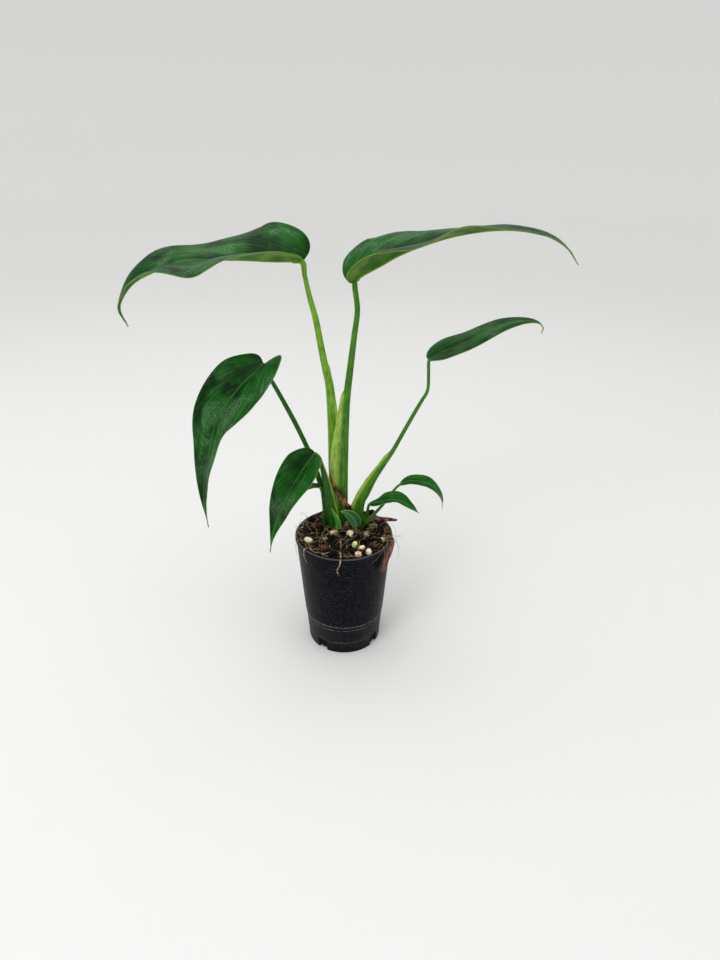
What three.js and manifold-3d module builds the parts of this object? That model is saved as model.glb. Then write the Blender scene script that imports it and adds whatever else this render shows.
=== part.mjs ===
// A young climbing monstera in a black nursery pot: five long drip-tipped leaves and four small
// ones on sheathed petioles, standing in a chunky potting mix.
//
// Millimetres, +Z up. The origin is the middle of the pot's underside, and -Y is the front.

import * as THREE from 'three';
import { mergeVertices } from 'three/addons/utils/BufferGeometryUtils.js';
import Module from 'manifold-3d';

const wasm = await Module();
wasm.setup();

// Clear space kept between two pieces that touch.
const GAP = 0.3;

const POT = {
  height: 109,
  topRadius: 42.2,
  footRadius: 33.4,
  wall: 1.2,
  floor: 2,
  lipHeight: 3.5,
  lipOut: 0.7,
  ledgeHeight: 31,
  ledgeStep: 0.8,
  bevel: 0.4,
  footBevel: 1.2,
  notchCount: 4,
  notchWidth: 9,
  notchHeight: 12,
  notchDepth: 4.8,
  firstNotch: -125,
  segments: 36,
};

const SOIL = {
  edgeHeight: 108,
  crownHeight: 112.5,
  chunks: 54,
  chunkRadius: [4, 7.5],
  chunkHeight: [0.8, 2.8],
  rimCalm: 0.5,
  seed: 11,
  rings: 6,
  segments: 32,
};

// The short stem that the petioles grow from, mostly buried.
const CROWN = { at: [-1, 12], bottom: 92, top: 120, radius: 5.5, footTaper: 0.6, headTaper: 0.7 };

const STALK = { sides: 8, rootSides: 6, stepsPerStation: 2 };

const BLADE = {
  halfThickness: 0.4,
  edgeHalfThickness: 0.32,
  ribDepth: 1.1,
  arch: 0.05,
  ribSpread: 1.25,
  baseShare: 0.36,
  tipHalfWidth: 0.5,
  calmBelow: 4,
  firstShare: 0.035,
  columns: [0, 0.12, 0.4, 0.72, 1],
  ribDivisions: 400,
  ribProbe: 0.01,
  rowsLarge: 21,
  rowsSmall: 12,
};

// Fractions of a blade, from its petiole to its tip, where the lift of its two halves is given.
const LIFT_STATIONS = [0, 0.15, 0.3, 0.45, 0.6, 0.75, 0.9];

// Each leaf has
//   rib: points along the midrib, from the petiole to the tip
//   side: the way from the midrib towards the second half
//   halfWidth, lobe: for the first and the second half, the lobe as a fraction of the length
//   widest: how far along the blade is widest; drip: how sharply it narrows to the tip
//   lifts: degrees that each half rises above the blade's flat, at LIFT_STATIONS
//   petiole, sheath: stations [x, y, z, half width, half depth], from the soil upwards
const LEAVES = [
  {
    name: 'high_right',
    rows: BLADE.rowsLarge,
    rib: [
      [8.5, 6, 324], [14, 6, 329], [27, 6, 336], [42, 7, 344], [60, 7, 351], [81, 8, 357], [106, 9, 361],
      [128, 9, 361], [148, 10, 357], [163, 10, 349], [174, 11, 337],
    ],
    side: [0, -1, 0],
    halfWidth: [33, 33],
    lobe: [0.06, 0.03],
    widest: 0.16,
    drip: 1.2,
    lifts: [[22, 36, 34, 15, 1, 4, 14], [20, 28, 27, 9, 18, 5, 3]],
    petiole: [
      [-1, 12, 104, 4.6, 3.6], [-1, 12, 136, 4.4, 3.4], [0, 10, 176, 3.8, 3.1], [2, 9, 217, 2.9, 2.6],
      [3, 8, 235, 3, 2.6], [6, 7, 261, 2.6, 2.3], [8.7, 6, 284, 2.3, 2.1], [11, 6, 304, 2.1, 1.9],
    ],
    sheath: [
      [-2, 11, 106, 5, 2.4], [-4.5, 9, 142, 4.8, 2.2], [-7, 7, 168, 5.2, 1.8], [-5.5, 6, 192, 4.5, 1.5],
      [-3, 6, 212, 3, 1.2], [-2, 6, 227, 1.6, 0.9], [-1, 6, 237, 0.5, 0.5],
    ],
  },
  {
    name: 'high_left',
    rows: BLADE.rowsLarge,
    rib: [
      [-30, 14, 338], [-52, 12, 338], [-76, 11, 339], [-99, 9, 339], [-119, 7, 338], [-138, 6, 331],
      [-154, 5, 323], [-164, 4, 312], [-168, 3, 303], [-163, 2, 291],
    ],
    side: [0, 1, 0],
    halfWidth: [36, 36],
    lobe: [0, 0.1],
    widest: 0.2,
    drip: 1.2,
    lifts: [[30, 23, 19, 10, -13, 8, 0], [34, 55, 43, 20, 14, 35, 28]],
    petiole: [
      [-6, 17, 104, 4.6, 3], [-9, 16, 154, 4.2, 2.8], [-9.5, 15, 201, 3.9, 2.6], [-11, 15, 237, 3.5, 2.5],
      [-14, 14, 254, 3, 2.3], [-17, 14, 270, 2.7, 2.2], [-21, 14, 294, 2.4, 2.1], [-25, 14, 310, 2.1, 1.9],
      [-28.5, 14, 327, 1.8, 1.7],
    ],
    sheath: [
      [-5, 14, 190, 1, 1], [-6.5, 14, 215, 2, 1.2], [-8.8, 14, 237, 1.4, 1], [-11.5, 14, 258, 0.5, 0.5],
    ],
  },
  {
    name: 'mid_right',
    rows: BLADE.rowsLarge,
    rib: [
      [66.5, 2, 267], [77.5, 0, 274], [93, -3, 282], [107, -5, 290],
      [121, -8, 297], [133, -9, 300], [143, -11, 300],
      [148, -11, 296], [147, -12, 292],
    ],
    side: [0, -1, 0],
    halfWidth: [17, 17],
    lobe: [0.05, 0],
    widest: 0.2,
    drip: 1.2,
    lifts: [[13, 20, 15, 9, 10, 12, 11], [6, 7, -1, -3, -5, -3, 1]],
    petiole: [
      [11, 10, 104, 4.6, 3.2], [13.5, 9, 133, 4.6, 3], [18.5, 8, 146, 4.4, 2.8], [25.5, 7, 161, 3.5, 2.6],
      [32.5, 6, 173, 2.8, 2.3], [41, 5, 187, 1.9, 1.9], [48.5, 4, 203, 1.7, 1.7], [56, 3, 219, 1.6, 1.6],
      [62.5, 3, 232, 1.5, 1.5], [67, 2, 242, 1.3, 1.3], [67, 2, 256, 1.3, 1.3],
    ],
    sheath: [
      [6, 8, 106, 4, 2.2], [8, 7, 130, 3.4, 2], [14.5, 6, 147, 3, 1.8], [21.5, 5, 161, 2.3, 1.4],
      [29.5, 4, 174, 1.4, 1], [35, 3.5, 184, 0.5, 0.5],
    ],
  },
  {
    name: 'hanging_left',
    rows: BLADE.rowsLarge,
    rib: [
      [-61, -4, 264], [-80, -15, 248], [-97, -18, 226], [-105, -19, 200], [-113, -15, 174], [-117, -12, 147],
      [-117, -8, 119],
    ],
    side: [-1, 0, 0.15],
    halfWidth: [24, 24],
    lobe: [0.17, 0.05],
    widest: 0.15,
    drip: 2,
    lifts: [[60, 52, 35, 52, 66, 58, 18], [-5, -16, -6, -17, -16, -13, 9]],
    petiole: [
      [-12, 8, 104, 2.8, 2.6], [-15, 8, 135, 2.7, 2.5], [-21, 8, 157, 2.4, 2.3], [-26, 8, 176, 2.2, 2.1],
      [-31, 7, 190, 2, 2], [-39, 6, 210, 2, 1.9], [-47, 5, 228, 1.9, 1.8], [-55, 4, 245, 1.7, 1.7],
      [-60, 3, 255, 1.6, 1.6],
    ],
    sheath: [],
  },
  {
    name: 'hanging_low',
    rows: BLADE.rowsLarge,
    rib: [
      [-23, -5, 189], [-32, -17, 181], [-41, -22, 167], [-49, -24, 152], [-55, -23, 136], [-60, -22, 119],
      [-63, -21, 102],
    ],
    side: [-1, 0, 0],
    halfWidth: [17, 17],
    lobe: [0, 0.05],
    widest: 0.2,
    drip: 2,
    lifts: [[16, 23, 34, 52, 56, 39, 12], [3, 12, 15, 5, 13, 9, 9]],
    petiole: [
      [-8, 3, 104, 4, 3], [-9, 3, 124, 3.8, 2.8], [-11, 3, 137, 3.6, 2.6], [-13, 2, 152, 3.2, 2.4],
      [-16, 1, 165, 2.6, 2.1], [-18, 0, 175, 2, 1.8], [-20, -1, 183, 1.6, 1.6],
    ],
    sheath: [],
  },
  {
    name: 'small_right_upper',
    rows: BLADE.rowsSmall,
    rib: [
      [48, 4, 156], [56, 2, 160], [65, 1, 160], [74, 0, 158], [80, -1, 152], [84, -1, 144], [85, -2, 135],
    ],
    side: [0, -1, 0],
    halfWidth: [8, 8],
    lobe: [0, 0],
    widest: 0.45,
    drip: 1.2,
    lifts: [[21, 22, 25, 15, 17, 22, 26], [-2, 6, 6, -3, -1, -1, -6]],
    petiole: [
      [15, 4.5, 104, 1.8, 1.6], [18, 4.5, 116, 1.7, 1.5], [25, 4.5, 124, 1.5, 1.4], [34, 4, 136, 1.3, 1.3],
      [43, 4, 150, 1.1, 1.1],
    ],
    sheath: [],
  },
  {
    name: 'small_right_lower',
    rows: BLADE.rowsSmall,
    rib: [
      [22, -4, 141], [29, -6, 144], [36, -8, 147], [44, -10, 148],
      [51, -11, 146], [58, -12, 142], [64, -14, 138],
    ],
    side: [0, -1, 0],
    halfWidth: [10, 8],
    lobe: [0, 0],
    widest: 0.45,
    drip: 1.2,
    lifts: [[8, -6, 15, 26, 29, 22, 21], [-3, -1, 10, 19, 9, 1, -6]],
    petiole: [[14, 0, 104, 1.6, 1.4], [16, 0, 118, 1.5, 1.3], [20, -2, 131, 1.2, 1.1]],
    sheath: [],
  },
  {
    name: 'small_left',
    rows: BLADE.rowsSmall,
    rib: [[-19, 2, 154], [-25, 1, 156], [-30, 0, 154], [-35, -2, 151]],
    side: [0, 1, 0],
    halfWidth: [5, 4],
    lobe: [0, 0],
    widest: 0.4,
    drip: 1.2,
    lifts: [[12, 11, 4, 0, 2, 7, 6], [10, 7, 0, 8, 8, 14, 12]],
    petiole: [[-17, 4, 104, 1.3, 1.2], [-17.5, 3, 131, 1.2, 1.1], [-18.5, 2, 146, 1, 1]],
    sheath: [],
  },
  {
    name: 'small_front',
    rows: BLADE.rowsSmall,
    rib: [[11, -2, 116], [10.5, -3, 121], [9, -4, 126], [5.5, -5, 131], [1.5, -6, 134], [-3, -7, 135]],
    side: [1, 0, 1],
    halfWidth: [6, 6],
    lobe: [0, 0],
    widest: 0.45,
    drip: 1.2,
    lifts: [[-12, -17, -17, -17, -20, -15, -12], [20, 24, 24, 20, 18, 14, 12]],
    petiole: [[10.5, -3, 103, 1.4, 1.4], [11, -2, 109, 1.3, 1.3]],
    sheath: [],
  },
];

// Other pieces of the plant: stations as for a petiole.
const SHOOTS = [
  {
    name: 'new_shoot',
    stations: [
      [-4, -2, 104, 2.8, 1.8], [-5, -2.5, 121, 2.4, 1.4], [-8, -3, 130, 1.5, 1], [-11, -2.5, 136, 0.5, 0.5],
    ],
  },
  {
    name: 'dried_sheath',
    stations: [
      [6, 6, 106, 3, 1], [5.5, 5, 127, 2.8, 0.9], [1, 4, 137, 2.6, 0.9], [-4, 4, 146, 2.2, 0.9],
      [-9.5, 5, 155, 1.6, 0.8], [-12, 5.5, 165, 0.6, 0.6],
    ],
  },
  { name: 'old_stub', stations: [[1, 3, 105, 3.2, 2.6], [2, 2, 114, 3, 2.5], [3, 1, 120, 1.6, 1.4]] },
];

// Bark and roots: stations as for a petiole, with the direction that their width follows.
const BARK = [
  {
    name: 'bark_strip',
    wide: [0.43, 0.58, -0.69],
    stations: [
      [34, -8, 110, 2.4, 1.4], [41, -12, 112, 2.8, 1.4], [41.5, -17, 106, 3, 1.3],
      [32.6, -30.6, 89, 3, 1.1],
    ],
  },
  {
    name: 'bark_chip_rim',
    wide: [1, 0, 0.5],
    stations: [[36.2, 11, 109, 1.6, 1.4], [37, 4, 112, 2.4, 1.8], [36, -3, 111, 1.6, 1.4]],
  },
  {
    name: 'bark_stick',
    wide: [0, 1, 0],
    stations: [
      [19, 20, 110, 1.8, 1.5], [26, 19, 112, 2.8, 1.8], [40, 18, 112.2, 2.2, 1.6], [48, 17.5, 112, 1, 0.9],
    ],
  },
  {
    name: 'bark_chip_left',
    wide: [0, 1, 0],
    stations: [[-33, 8, 109, 2, 1.4], [-26, 7, 112, 3.4, 2.2], [-20, 9, 112, 1.8, 1.4]],
  },
  {
    name: 'bark_chip_front',
    wide: [0, 1, 0],
    stations: [[-22, -26, 108.5, 2, 1.5], [-16, -25, 110, 3.6, 2.4], [-9, -26, 110, 2, 1.4]],
  },
  {
    name: 'bark_chip_right',
    wide: [0.4, 1, 0],
    stations: [[22, -19, 109.5, 1.6, 1.2], [27, -22, 111, 3, 1.8], [31.5, -21, 109.5, 1.4, 1.2]],
  },
];

const ROOTS = [
  {
    name: 'root_front',
    stations: [
      [-3, -27, 108, 0.8, 0.7], [-2, -36, 111.6, 0.9, 0.8], [-1.6, -42.5, 111.2, 0.9, 0.8],
      [-2.4, -45, 106, 0.8, 0.7], [-4.6, -44.8, 100, 0.7, 0.6], [-2.6, -44.2, 94, 0.5, 0.5],
    ],
  },
  {
    name: 'root_left',
    stations: [
      [-26, -22, 108, 0.7, 0.6], [-31, -28, 111.3, 0.8, 0.7],
      [-33, -30, 110, 0.7, 0.6], [-32.6, -30.6, 104, 0.6, 0.5],
      [-30, -32.4, 98, 0.5, 0.5],
    ],
  },
];

// White mineral grains on the mix: [x, y, half length, half width, half height, turn in degrees].
const GRAINS = [
  { name: 'grain_1', place: [-35.5, 5, 2.6, 2.6, 2.2, 20] },
  { name: 'grain_2', place: [-30, -16, 4, 2.2, 2.2, -35] },
  { name: 'grain_3', place: [-8.5, -6, 3.9, 2, 2, 15] },
  { name: 'grain_4', place: [6, -8, 3.4, 3, 2.8, -50] },
  { name: 'grain_5', place: [10, -22.5, 2.8, 2.3, 2.6, 70] },
  { name: 'grain_6', place: [16, -26.5, 2.6, 1.9, 1.9, 30] },
  { name: 'grain_7', place: [13, -34, 3, 2.2, 2.2, -10] },
  { name: 'grain_8', place: [22, -30.5, 2.5, 2.4, 2.6, 60] },
  { name: 'grain_9', place: [34, -11, 2.2, 2, 2, 40] },
  { name: 'grain_10', place: [26, 6, 4, 2.6, 2.2, 10] },
  { name: 'grain_11', place: [20, -10, 2.6, 2.4, 2.2, -20] },
  { name: 'grain_12', place: [-16, -15, 2.6, 1.6, 1.6, 25] },
];
const GRAIN = { sink: 0.35, unevenness: 0.22, seed: 101 };

const FINISHES = {
  pot: { color: 0x17171a, roughness: 0.45 },
  soil: { color: 0x2a2019, roughness: 0.95 },
  crown: { color: 0x5d6b34, roughness: 0.6 },
  petiole: { color: 0x5f9a2f, roughness: 0.4 },
  blade: { color: 0x0f5220, roughness: 0.38 },
  new_shoot: { color: 0xa9c66a, roughness: 0.45 },
  dried_sheath: { color: 0x6b4a2c, roughness: 0.85 },
  old_stub: { color: 0x5a4636, roughness: 0.85 },
  bark: { color: 0x5b3a2b, roughness: 0.9 },
  root: { color: 0xbda679, roughness: 0.8 },
  grain: { color: 0xe9dcc0, roughness: 0.9 },
};

const X_AXIS = [1, 0, 0];

const vector = (point) => new THREE.Vector3(point[0], point[1], point[2]);
const radians = THREE.MathUtils.degToRad;

// A repeatable random number between low and high for each call.
function randomSource(seed) {
  let state = seed;
  return (low, high) => {
    state = (state * 1664525 + 1013904223) % 4294967296;
    return low + ((high - low) * state) / 4294967296;
  };
}

// Joins the shared corners of a closed surface, drops its empty faces and turns its faces outward.
function welded(geometry) {
  geometry.deleteAttribute('normal');
  geometry.deleteAttribute('uv');
  const merged = mergeVertices(geometry, 1e-4);
  const corner = merged.getAttribute('position');
  const faces = [];
  let volume = 0;
  const [a, b, c] = [new THREE.Vector3(), new THREE.Vector3(), new THREE.Vector3()];
  for (let i = 0; i < merged.index.count; i += 3) {
    const face = [merged.index.getX(i), merged.index.getX(i + 1), merged.index.getX(i + 2)];
    if (new Set(face).size < 3) continue;
    faces.push(face);
    a.fromBufferAttribute(corner, face[0]);
    b.fromBufferAttribute(corner, face[1]);
    c.fromBufferAttribute(corner, face[2]);
    volume += a.dot(b.cross(c));
  }
  if (volume < 0) faces.forEach((face) => face.reverse());
  merged.setIndex(faces.flat());
  return merged;
}

function toManifold(geometry) {
  return new wasm.Manifold(new wasm.Mesh({
    numProp: 3,
    vertProperties: new Float32Array(geometry.getAttribute('position').array),
    triVerts: new Uint32Array(geometry.index.array),
  }));
}

// The largest body of a cut solid: what a cut leaves over is dropped.
function largestBody(solid) {
  return solid.decompose().reduce((best, body) => (body.volume() > best.volume() ? body : best));
}

function toGeometry(solid) {
  const mesh = solid.getMesh();
  const geometry = new THREE.BufferGeometry();
  geometry.setAttribute('position', new THREE.BufferAttribute(new Float32Array(mesh.vertProperties), 3));
  geometry.setIndex([...mesh.triVerts]);
  return geometry;
}

// The faces that close an end of a two-faced skin: a thin wall from its front to its back.
function endWall(first, count) {
  return Array.from({ length: count / 2 - 1 }, (_, j) => {
    const [a, b, c, d] = [j, j + 1, count - 2 - j, count - 1 - j].map((k) => first + k);
    return [[a, b, c], [a, c, d]];
  }).flat();
}

// The faces that close an end as a fan around its middle.
function endFan(first, count, middle) {
  return Array.from({ length: count }, (_, j) => [first + j, first + ((j + 1) % count), middle]);
}

// A closed skin over a row of closed sections with equally many corners each. With twoFaced the
// second half of each section is the back of the first, and is split into triangles alike.
function loft(sections, twoFaced = false) {
  const count = sections[0].length;
  const points = sections.flat();
  const faces = [];
  for (let i = 0; i + 1 < sections.length; i += 1) {
    for (let j = 0; j < count; j += 1) {
      const k = (j + 1) % count;
      const [a, b, c, d] = [i * count + j, i * count + k, (i + 1) * count + k, (i + 1) * count + j];
      if (twoFaced && j >= count / 2) faces.push(a, b, d, b, c, d);
      else faces.push(a, b, c, a, c, d);
    }
  }
  [0, sections.length - 1].forEach((end) => {
    let closing = endWall(end * count, count);
    if (!twoFaced) {
      const middle = new THREE.Vector3();
      sections[end].forEach((point) => middle.addScaledVector(point, 1 / count));
      points.push(middle);
      closing = endFan(end * count, count, points.length - 1);
    }
    closing.forEach((face) => faces.push(...(end === 0 ? face.reverse() : face)));
  });
  const geometry = new THREE.BufferGeometry().setFromPoints(points);
  geometry.setIndex(faces);
  return welded(geometry);
}

// A tapering stalk through stations [x, y, z, half width, half depth]. Its width follows the
// given direction, and grow makes it that much fatter and longer.
function stalk(stations, wide, grow, sides = STALK.sides) {
  const curve = new THREE.CatmullRomCurve3(stations.map(vector), false, 'catmullrom');
  const steps = (stations.length - 1) * STALK.stepsPerStation;
  const sections = [];
  for (let i = 0; i <= steps; i += 1) {
    const place = i / STALK.stepsPerStation;
    const from = Math.min(Math.floor(place), stations.length - 2);
    const [halfWidth, halfDepth] = [3, 4].map(
      (k) => THREE.MathUtils.lerp(stations[from][k], stations[from + 1][k], place - from) + grow,
    );
    const tangent = curve.getTangent(i / steps);
    const across = vector(wide).addScaledVector(tangent, -vector(wide).dot(tangent)).normalize();
    const deep = new THREE.Vector3().crossVectors(tangent, across);
    const centre = curve.getPoint(i / steps);
    if (i === 0) centre.addScaledVector(tangent, -grow);
    if (i === steps) centre.addScaledVector(tangent, grow);
    sections.push(Array.from({ length: sides }, (_, side) => {
      const angle = (side / sides) * Math.PI * 2;
      return centre.clone()
        .addScaledVector(across, Math.cos(angle) * halfWidth)
        .addScaledVector(deep, Math.sin(angle) * halfDepth);
    }));
  }
  return toManifold(loft(sections));
}

// The blade's edge at u, from the petiole at 0 to the tip at 1: how far along the midrib it lies,
// and how far from it, as fractions of the length and the half width. The lobe goes back past
// the petiole, and the tip draws out to a drip.
function bladeOutline(leaf, half, u) {
  const { baseShare } = BLADE;
  if (u < baseShare) {
    const turn = (Math.PI / 2) * (u / baseShare);
    const back = leaf.lobe[half] * Math.sin(2 * turn) * (1 - u / baseShare);
    return { along: leaf.widest * (1 - Math.cos(turn)) - back, across: Math.sin(turn) };
  }
  const rest = (u - baseShare) / (1 - baseShare);
  return {
    along: leaf.widest + (1 - leaf.widest) * rest,
    across: (1 - rest) ** leaf.drip * (1 + leaf.drip * rest),
  };
}

function liftAt(lifts, u) {
  const last = LIFT_STATIONS.length - 1;
  const next = LIFT_STATIONS.findIndex((station) => station > u);
  if (next === -1) return radians(lifts[last]);
  const share = (u - LIFT_STATIONS[next - 1]) / (LIFT_STATIONS[next] - LIFT_STATIONS[next - 1]);
  return radians(THREE.MathUtils.lerp(lifts[next - 1], lifts[next], THREE.MathUtils.smoothstep(share, 0, 1)));
}

// Gives the blade's middle surface as a function of half (0 or 1), u along and v out to the edge.
function bladeSurface(leaf, grow) {
  const rib = new THREE.CatmullRomCurve3(leaf.rib.map(vector), false, 'catmullrom');
  rib.arcLengthDivisions = BLADE.ribDivisions;
  const length = rib.getLength();
  const start = rib.getTangentAt(1 / BLADE.ribDivisions);
  const pointAt = (along) => {
    const point = rib.getPointAt(THREE.MathUtils.clamp(along / length, 0, 1));
    if (along < 0) point.addScaledVector(start, along);
    return point;
  };
  const frameAt = (along) => {
    const reach = 2 * BLADE.ribProbe;
    const from = THREE.MathUtils.clamp(along / length - BLADE.ribProbe, 0, 1 - reach);
    const tangent = rib.getPointAt(from + reach).sub(rib.getPointAt(from)).normalize();
    const across = vector(leaf.side).addScaledVector(tangent, -vector(leaf.side).dot(tangent)).normalize();
    return { across, up: new THREE.Vector3().crossVectors(across, tangent) };
  };
  const ribAlong = (u) => {
    const share = Math.max(u - BLADE.firstShare, 0) / (1 - BLADE.firstShare);
    return length * share ** BLADE.ribSpread;
  };
  const surface = (half, u, v) => {
    const edge = bladeOutline(leaf, half, u);
    const along = THREE.MathUtils.lerp(ribAlong(u), length * edge.along, v);
    const halfWidth = Math.max(leaf.halfWidth[half] * edge.across, BLADE.tipHalfWidth) + grow;
    // The fold dies out where the blade is narrow, so that its two faces never cross there.
    const calm = THREE.MathUtils.smoothstep(halfWidth, BLADE.tipHalfWidth, BLADE.calmBelow);
    const lift = liftAt(leaf.lifts[half], u) * calm;
    const arch = BLADE.arch * halfWidth * 4 * v * (1 - v);
    const sign = half === 0 ? -1 : 1;
    const { across, up } = frameAt(along);
    return pointAt(along)
      .addScaledVector(across, sign * (Math.cos(lift) * halfWidth * v - Math.sin(lift) * arch))
      .addScaledVector(up, Math.sin(lift) * halfWidth * v + Math.cos(lift) * arch);
  };
  return { surface, frameAt, ribAlong };
}

// A leaf blade with its two halves folded and waved, a raised midrib below and a blunt edge.
function blade(leaf, grow) {
  const { surface, frameAt, ribAlong } = bladeSurface(leaf, grow);
  const step = BLADE.ribProbe;
  const normalAt = (half, u, v) => {
    if (v === 0) return frameAt(ribAlong(u)).up;
    const [low, high] = [Math.max(u - step, BLADE.firstShare), Math.min(u + step, 1)];
    const along = surface(half, high, v).sub(surface(half, low, v));
    const out = surface(half, u, Math.min(v + step, 1)).sub(surface(half, u, v - step));
    const normal = half === 0 ? along.cross(out) : out.cross(along);
    return normal.normalize();
  };
  const columns = [
    ...BLADE.columns.slice(1).reverse().map((v) => [0, v]),
    ...BLADE.columns.map((v) => [1, v]),
  ];
  const sections = [];
  for (let row = 0; row <= leaf.rows; row += 1) {
    const u = THREE.MathUtils.lerp(BLADE.firstShare, 1, row / leaf.rows);
    const top = [];
    const bottom = [];
    columns.forEach(([half, v]) => {
      const middle = surface(half, u, v);
      const normal = normalAt(half, u, v);
      const thick = THREE.MathUtils.lerp(BLADE.halfThickness, BLADE.edgeHalfThickness, v) + grow;
      const rib = v === 0 ? BLADE.ribDepth * (1 - u) : 0;
      top.push(middle.clone().addScaledVector(normal, thick));
      bottom.unshift(middle.clone().addScaledVector(normal, -thick - rib));
    });
    sections.push([...top, ...bottom]);
  }
  return toManifold(loft(sections, true));
}

// A stalk that ends just under the blade that it carries, joined with its sheath.
function petiole(leaf, grow) {
  const { frameAt } = bladeSurface(leaf, 0);
  const seat = vector(leaf.rib[0]).addScaledVector(
    frameAt(0).up,
    -(BLADE.halfThickness + BLADE.ribDepth + 2 * GAP),
  );
  const last = leaf.petiole[leaf.petiole.length - 1];
  const stem = stalk([...leaf.petiole, [seat.x, seat.y, seat.z, last[3], last[4]]], X_AXIS, grow);
  return leaf.sheath.length === 0 ? stem : stem.add(stalk(leaf.sheath, X_AXIS, grow));
}

function potWallRadius(height) {
  return THREE.MathUtils.lerp(POT.footRadius, POT.topRadius, height / POT.height);
}

function potInnerRadius(height) {
  return potWallRadius(height) - POT.wall - POT.ledgeStep * 0.5;
}

function lathe(profile, segments) {
  const points = profile.map(([radius, height]) => new THREE.Vector2(radius, height));
  return new THREE.LatheGeometry(points, segments).rotateX(Math.PI / 2);
}

// A thin tapered wall with a ledge ring low down, a lip round the top, and a floor that is cut
// away in notches at its edge.
function pot() {
  const { height, floor, lipOut, ledgeHeight, ledgeStep, bevel, footBevel } = POT;
  const lipFoot = height - POT.lipHeight;
  const profile = [
    [0, 0],
    [POT.footRadius - footBevel - bevel, 0],
    [POT.footRadius - bevel, footBevel],
    [potWallRadius(ledgeHeight) - ledgeStep, ledgeHeight],
    [potWallRadius(ledgeHeight), ledgeHeight + ledgeStep],
    [potWallRadius(lipFoot), lipFoot],
    [potWallRadius(lipFoot) + lipOut, lipFoot + bevel],
    [POT.topRadius + lipOut, height - bevel],
    [POT.topRadius + lipOut - bevel, height],
    [potInnerRadius(height) + bevel, height],
    [potInnerRadius(height), height - bevel],
    [potInnerRadius(floor), floor],
    [0, floor],
  ];
  let solid = toManifold(welded(lathe(profile, POT.segments)));
  for (let i = 0; i < POT.notchCount; i += 1) {
    const notch = new THREE.BoxGeometry(POT.notchDepth * 2, POT.notchWidth, POT.notchHeight * 2);
    notch.translate(POT.footRadius, 0, 0);
    notch.rotateZ(radians(POT.firstNotch + (360 / POT.notchCount) * i));
    solid = solid.subtract(toManifold(welded(notch)));
  }
  return solid;
}

// Rounded chunks of the mix, as places with a radius and a height.
const random = randomSource(SOIL.seed);
const CHUNKS = Array.from({ length: SOIL.chunks }, () => {
  const reach = Math.sqrt(random(0, 1)) * (POT.topRadius - 2);
  const turn = random(0, Math.PI * 2);
  return {
    x: reach * Math.cos(turn),
    y: reach * Math.sin(turn),
    radius: random(...SOIL.chunkRadius),
    height: random(...SOIL.chunkHeight),
  };
});

function soilHeight(x, y) {
  const out = Math.min(Math.hypot(x, y) / potInnerRadius(SOIL.edgeHeight), 1);
  const mound = THREE.MathUtils.lerp(SOIL.crownHeight, SOIL.edgeHeight, out * out);
  const bumps = CHUNKS.map((chunk) => {
    const away = Math.hypot(x - chunk.x, y - chunk.y) / chunk.radius;
    return chunk.height * Math.max(1 - away * away, 0);
  });
  return mound + Math.max(...bumps) * (1 - SOIL.rimCalm * out ** 8);
}

// The potting mix fills the pot, and its surface is heaped and lumpy.
function soil() {
  const [bottom, top] = [POT.floor + GAP, SOIL.edgeHeight];
  const bottomRadius = potInnerRadius(bottom) - GAP;
  const topRadius = potInnerRadius(top) - GAP;
  const surface = Array.from({ length: SOIL.rings + 1 }, (_, i) => [topRadius * (1 - i / SOIL.rings), top]);
  const geometry = lathe([[0, bottom], [bottomRadius, bottom], ...surface], SOIL.segments);
  const corner = geometry.getAttribute('position');
  for (let i = 0; i < corner.count; i += 1) {
    if (corner.getZ(i) > top - 1) corner.setZ(i, soilHeight(corner.getX(i), corner.getY(i)));
  }
  return toManifold(welded(geometry));
}

// A rough mineral grain, sunk by about a third into the mix.
function grain({ place }, grow, index) {
  const [x, y, halfLength, halfWidth, halfHeight, turn] = place;
  const rough = welded(new THREE.IcosahedronGeometry(1, 1));
  const corner = rough.getAttribute('position');
  const uneven = randomSource(GRAIN.seed + index);
  for (let i = 0; i < corner.count; i += 1) {
    const scale = 1 + uneven(-GRAIN.unevenness, GRAIN.unevenness);
    corner.setXYZ(
      i,
      corner.getX(i) * (halfLength * scale + grow),
      corner.getY(i) * (halfWidth * scale + grow),
      corner.getZ(i) * (halfHeight * scale + grow),
    );
  }
  rough.rotateZ(radians(turn));
  rough.translate(x, y, soilHeight(x, y) + halfHeight * (1 - 2 * GRAIN.sink));
  return toManifold(rough);
}

function crown(grow) {
  const { at: [x, y], bottom, top, radius, footTaper, headTaper } = CROWN;
  const stations = [
    [x, y, bottom, radius * footTaper, radius * footTaper],
    [x, y, (bottom + top) / 2, radius, radius],
    [x, y, top, radius * headTaper, radius * headTaper],
  ];
  return stalk(stations, X_AXIS, grow);
}

function piecesOf(items, finish, make, prefix = '') {
  return items.map((item, index) => ({
    name: `${prefix}${item.name}`,
    finish: finish ?? item.name,
    make: (grow) => make(item, grow, index),
  }));
}

// Every piece of the plant and the mix, each as a function of how much it is grown, in the order
// in which they keep their whole shape: a later one is cut back from the earlier ones.
const pieces = [
  ...piecesOf(LEAVES, 'blade', blade, 'blade_'),
  { name: 'crown', finish: 'crown', make: crown },
  ...piecesOf(LEAVES, 'petiole', petiole, 'petiole_'),
  ...piecesOf(SHOOTS, null, (shoot, grow) => stalk(shoot.stations, X_AXIS, grow)),
  ...piecesOf(GRAINS, 'grain', grain),
  ...piecesOf(BARK, 'bark', (chip, grow) => stalk(chip.stations, chip.wide, grow)),
  ...piecesOf(ROOTS, 'root', (root, grow) => stalk(root.stations, X_AXIS, grow, STALK.rootSides)),
  { name: 'soil', finish: 'soil', make: soil },
];

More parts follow.
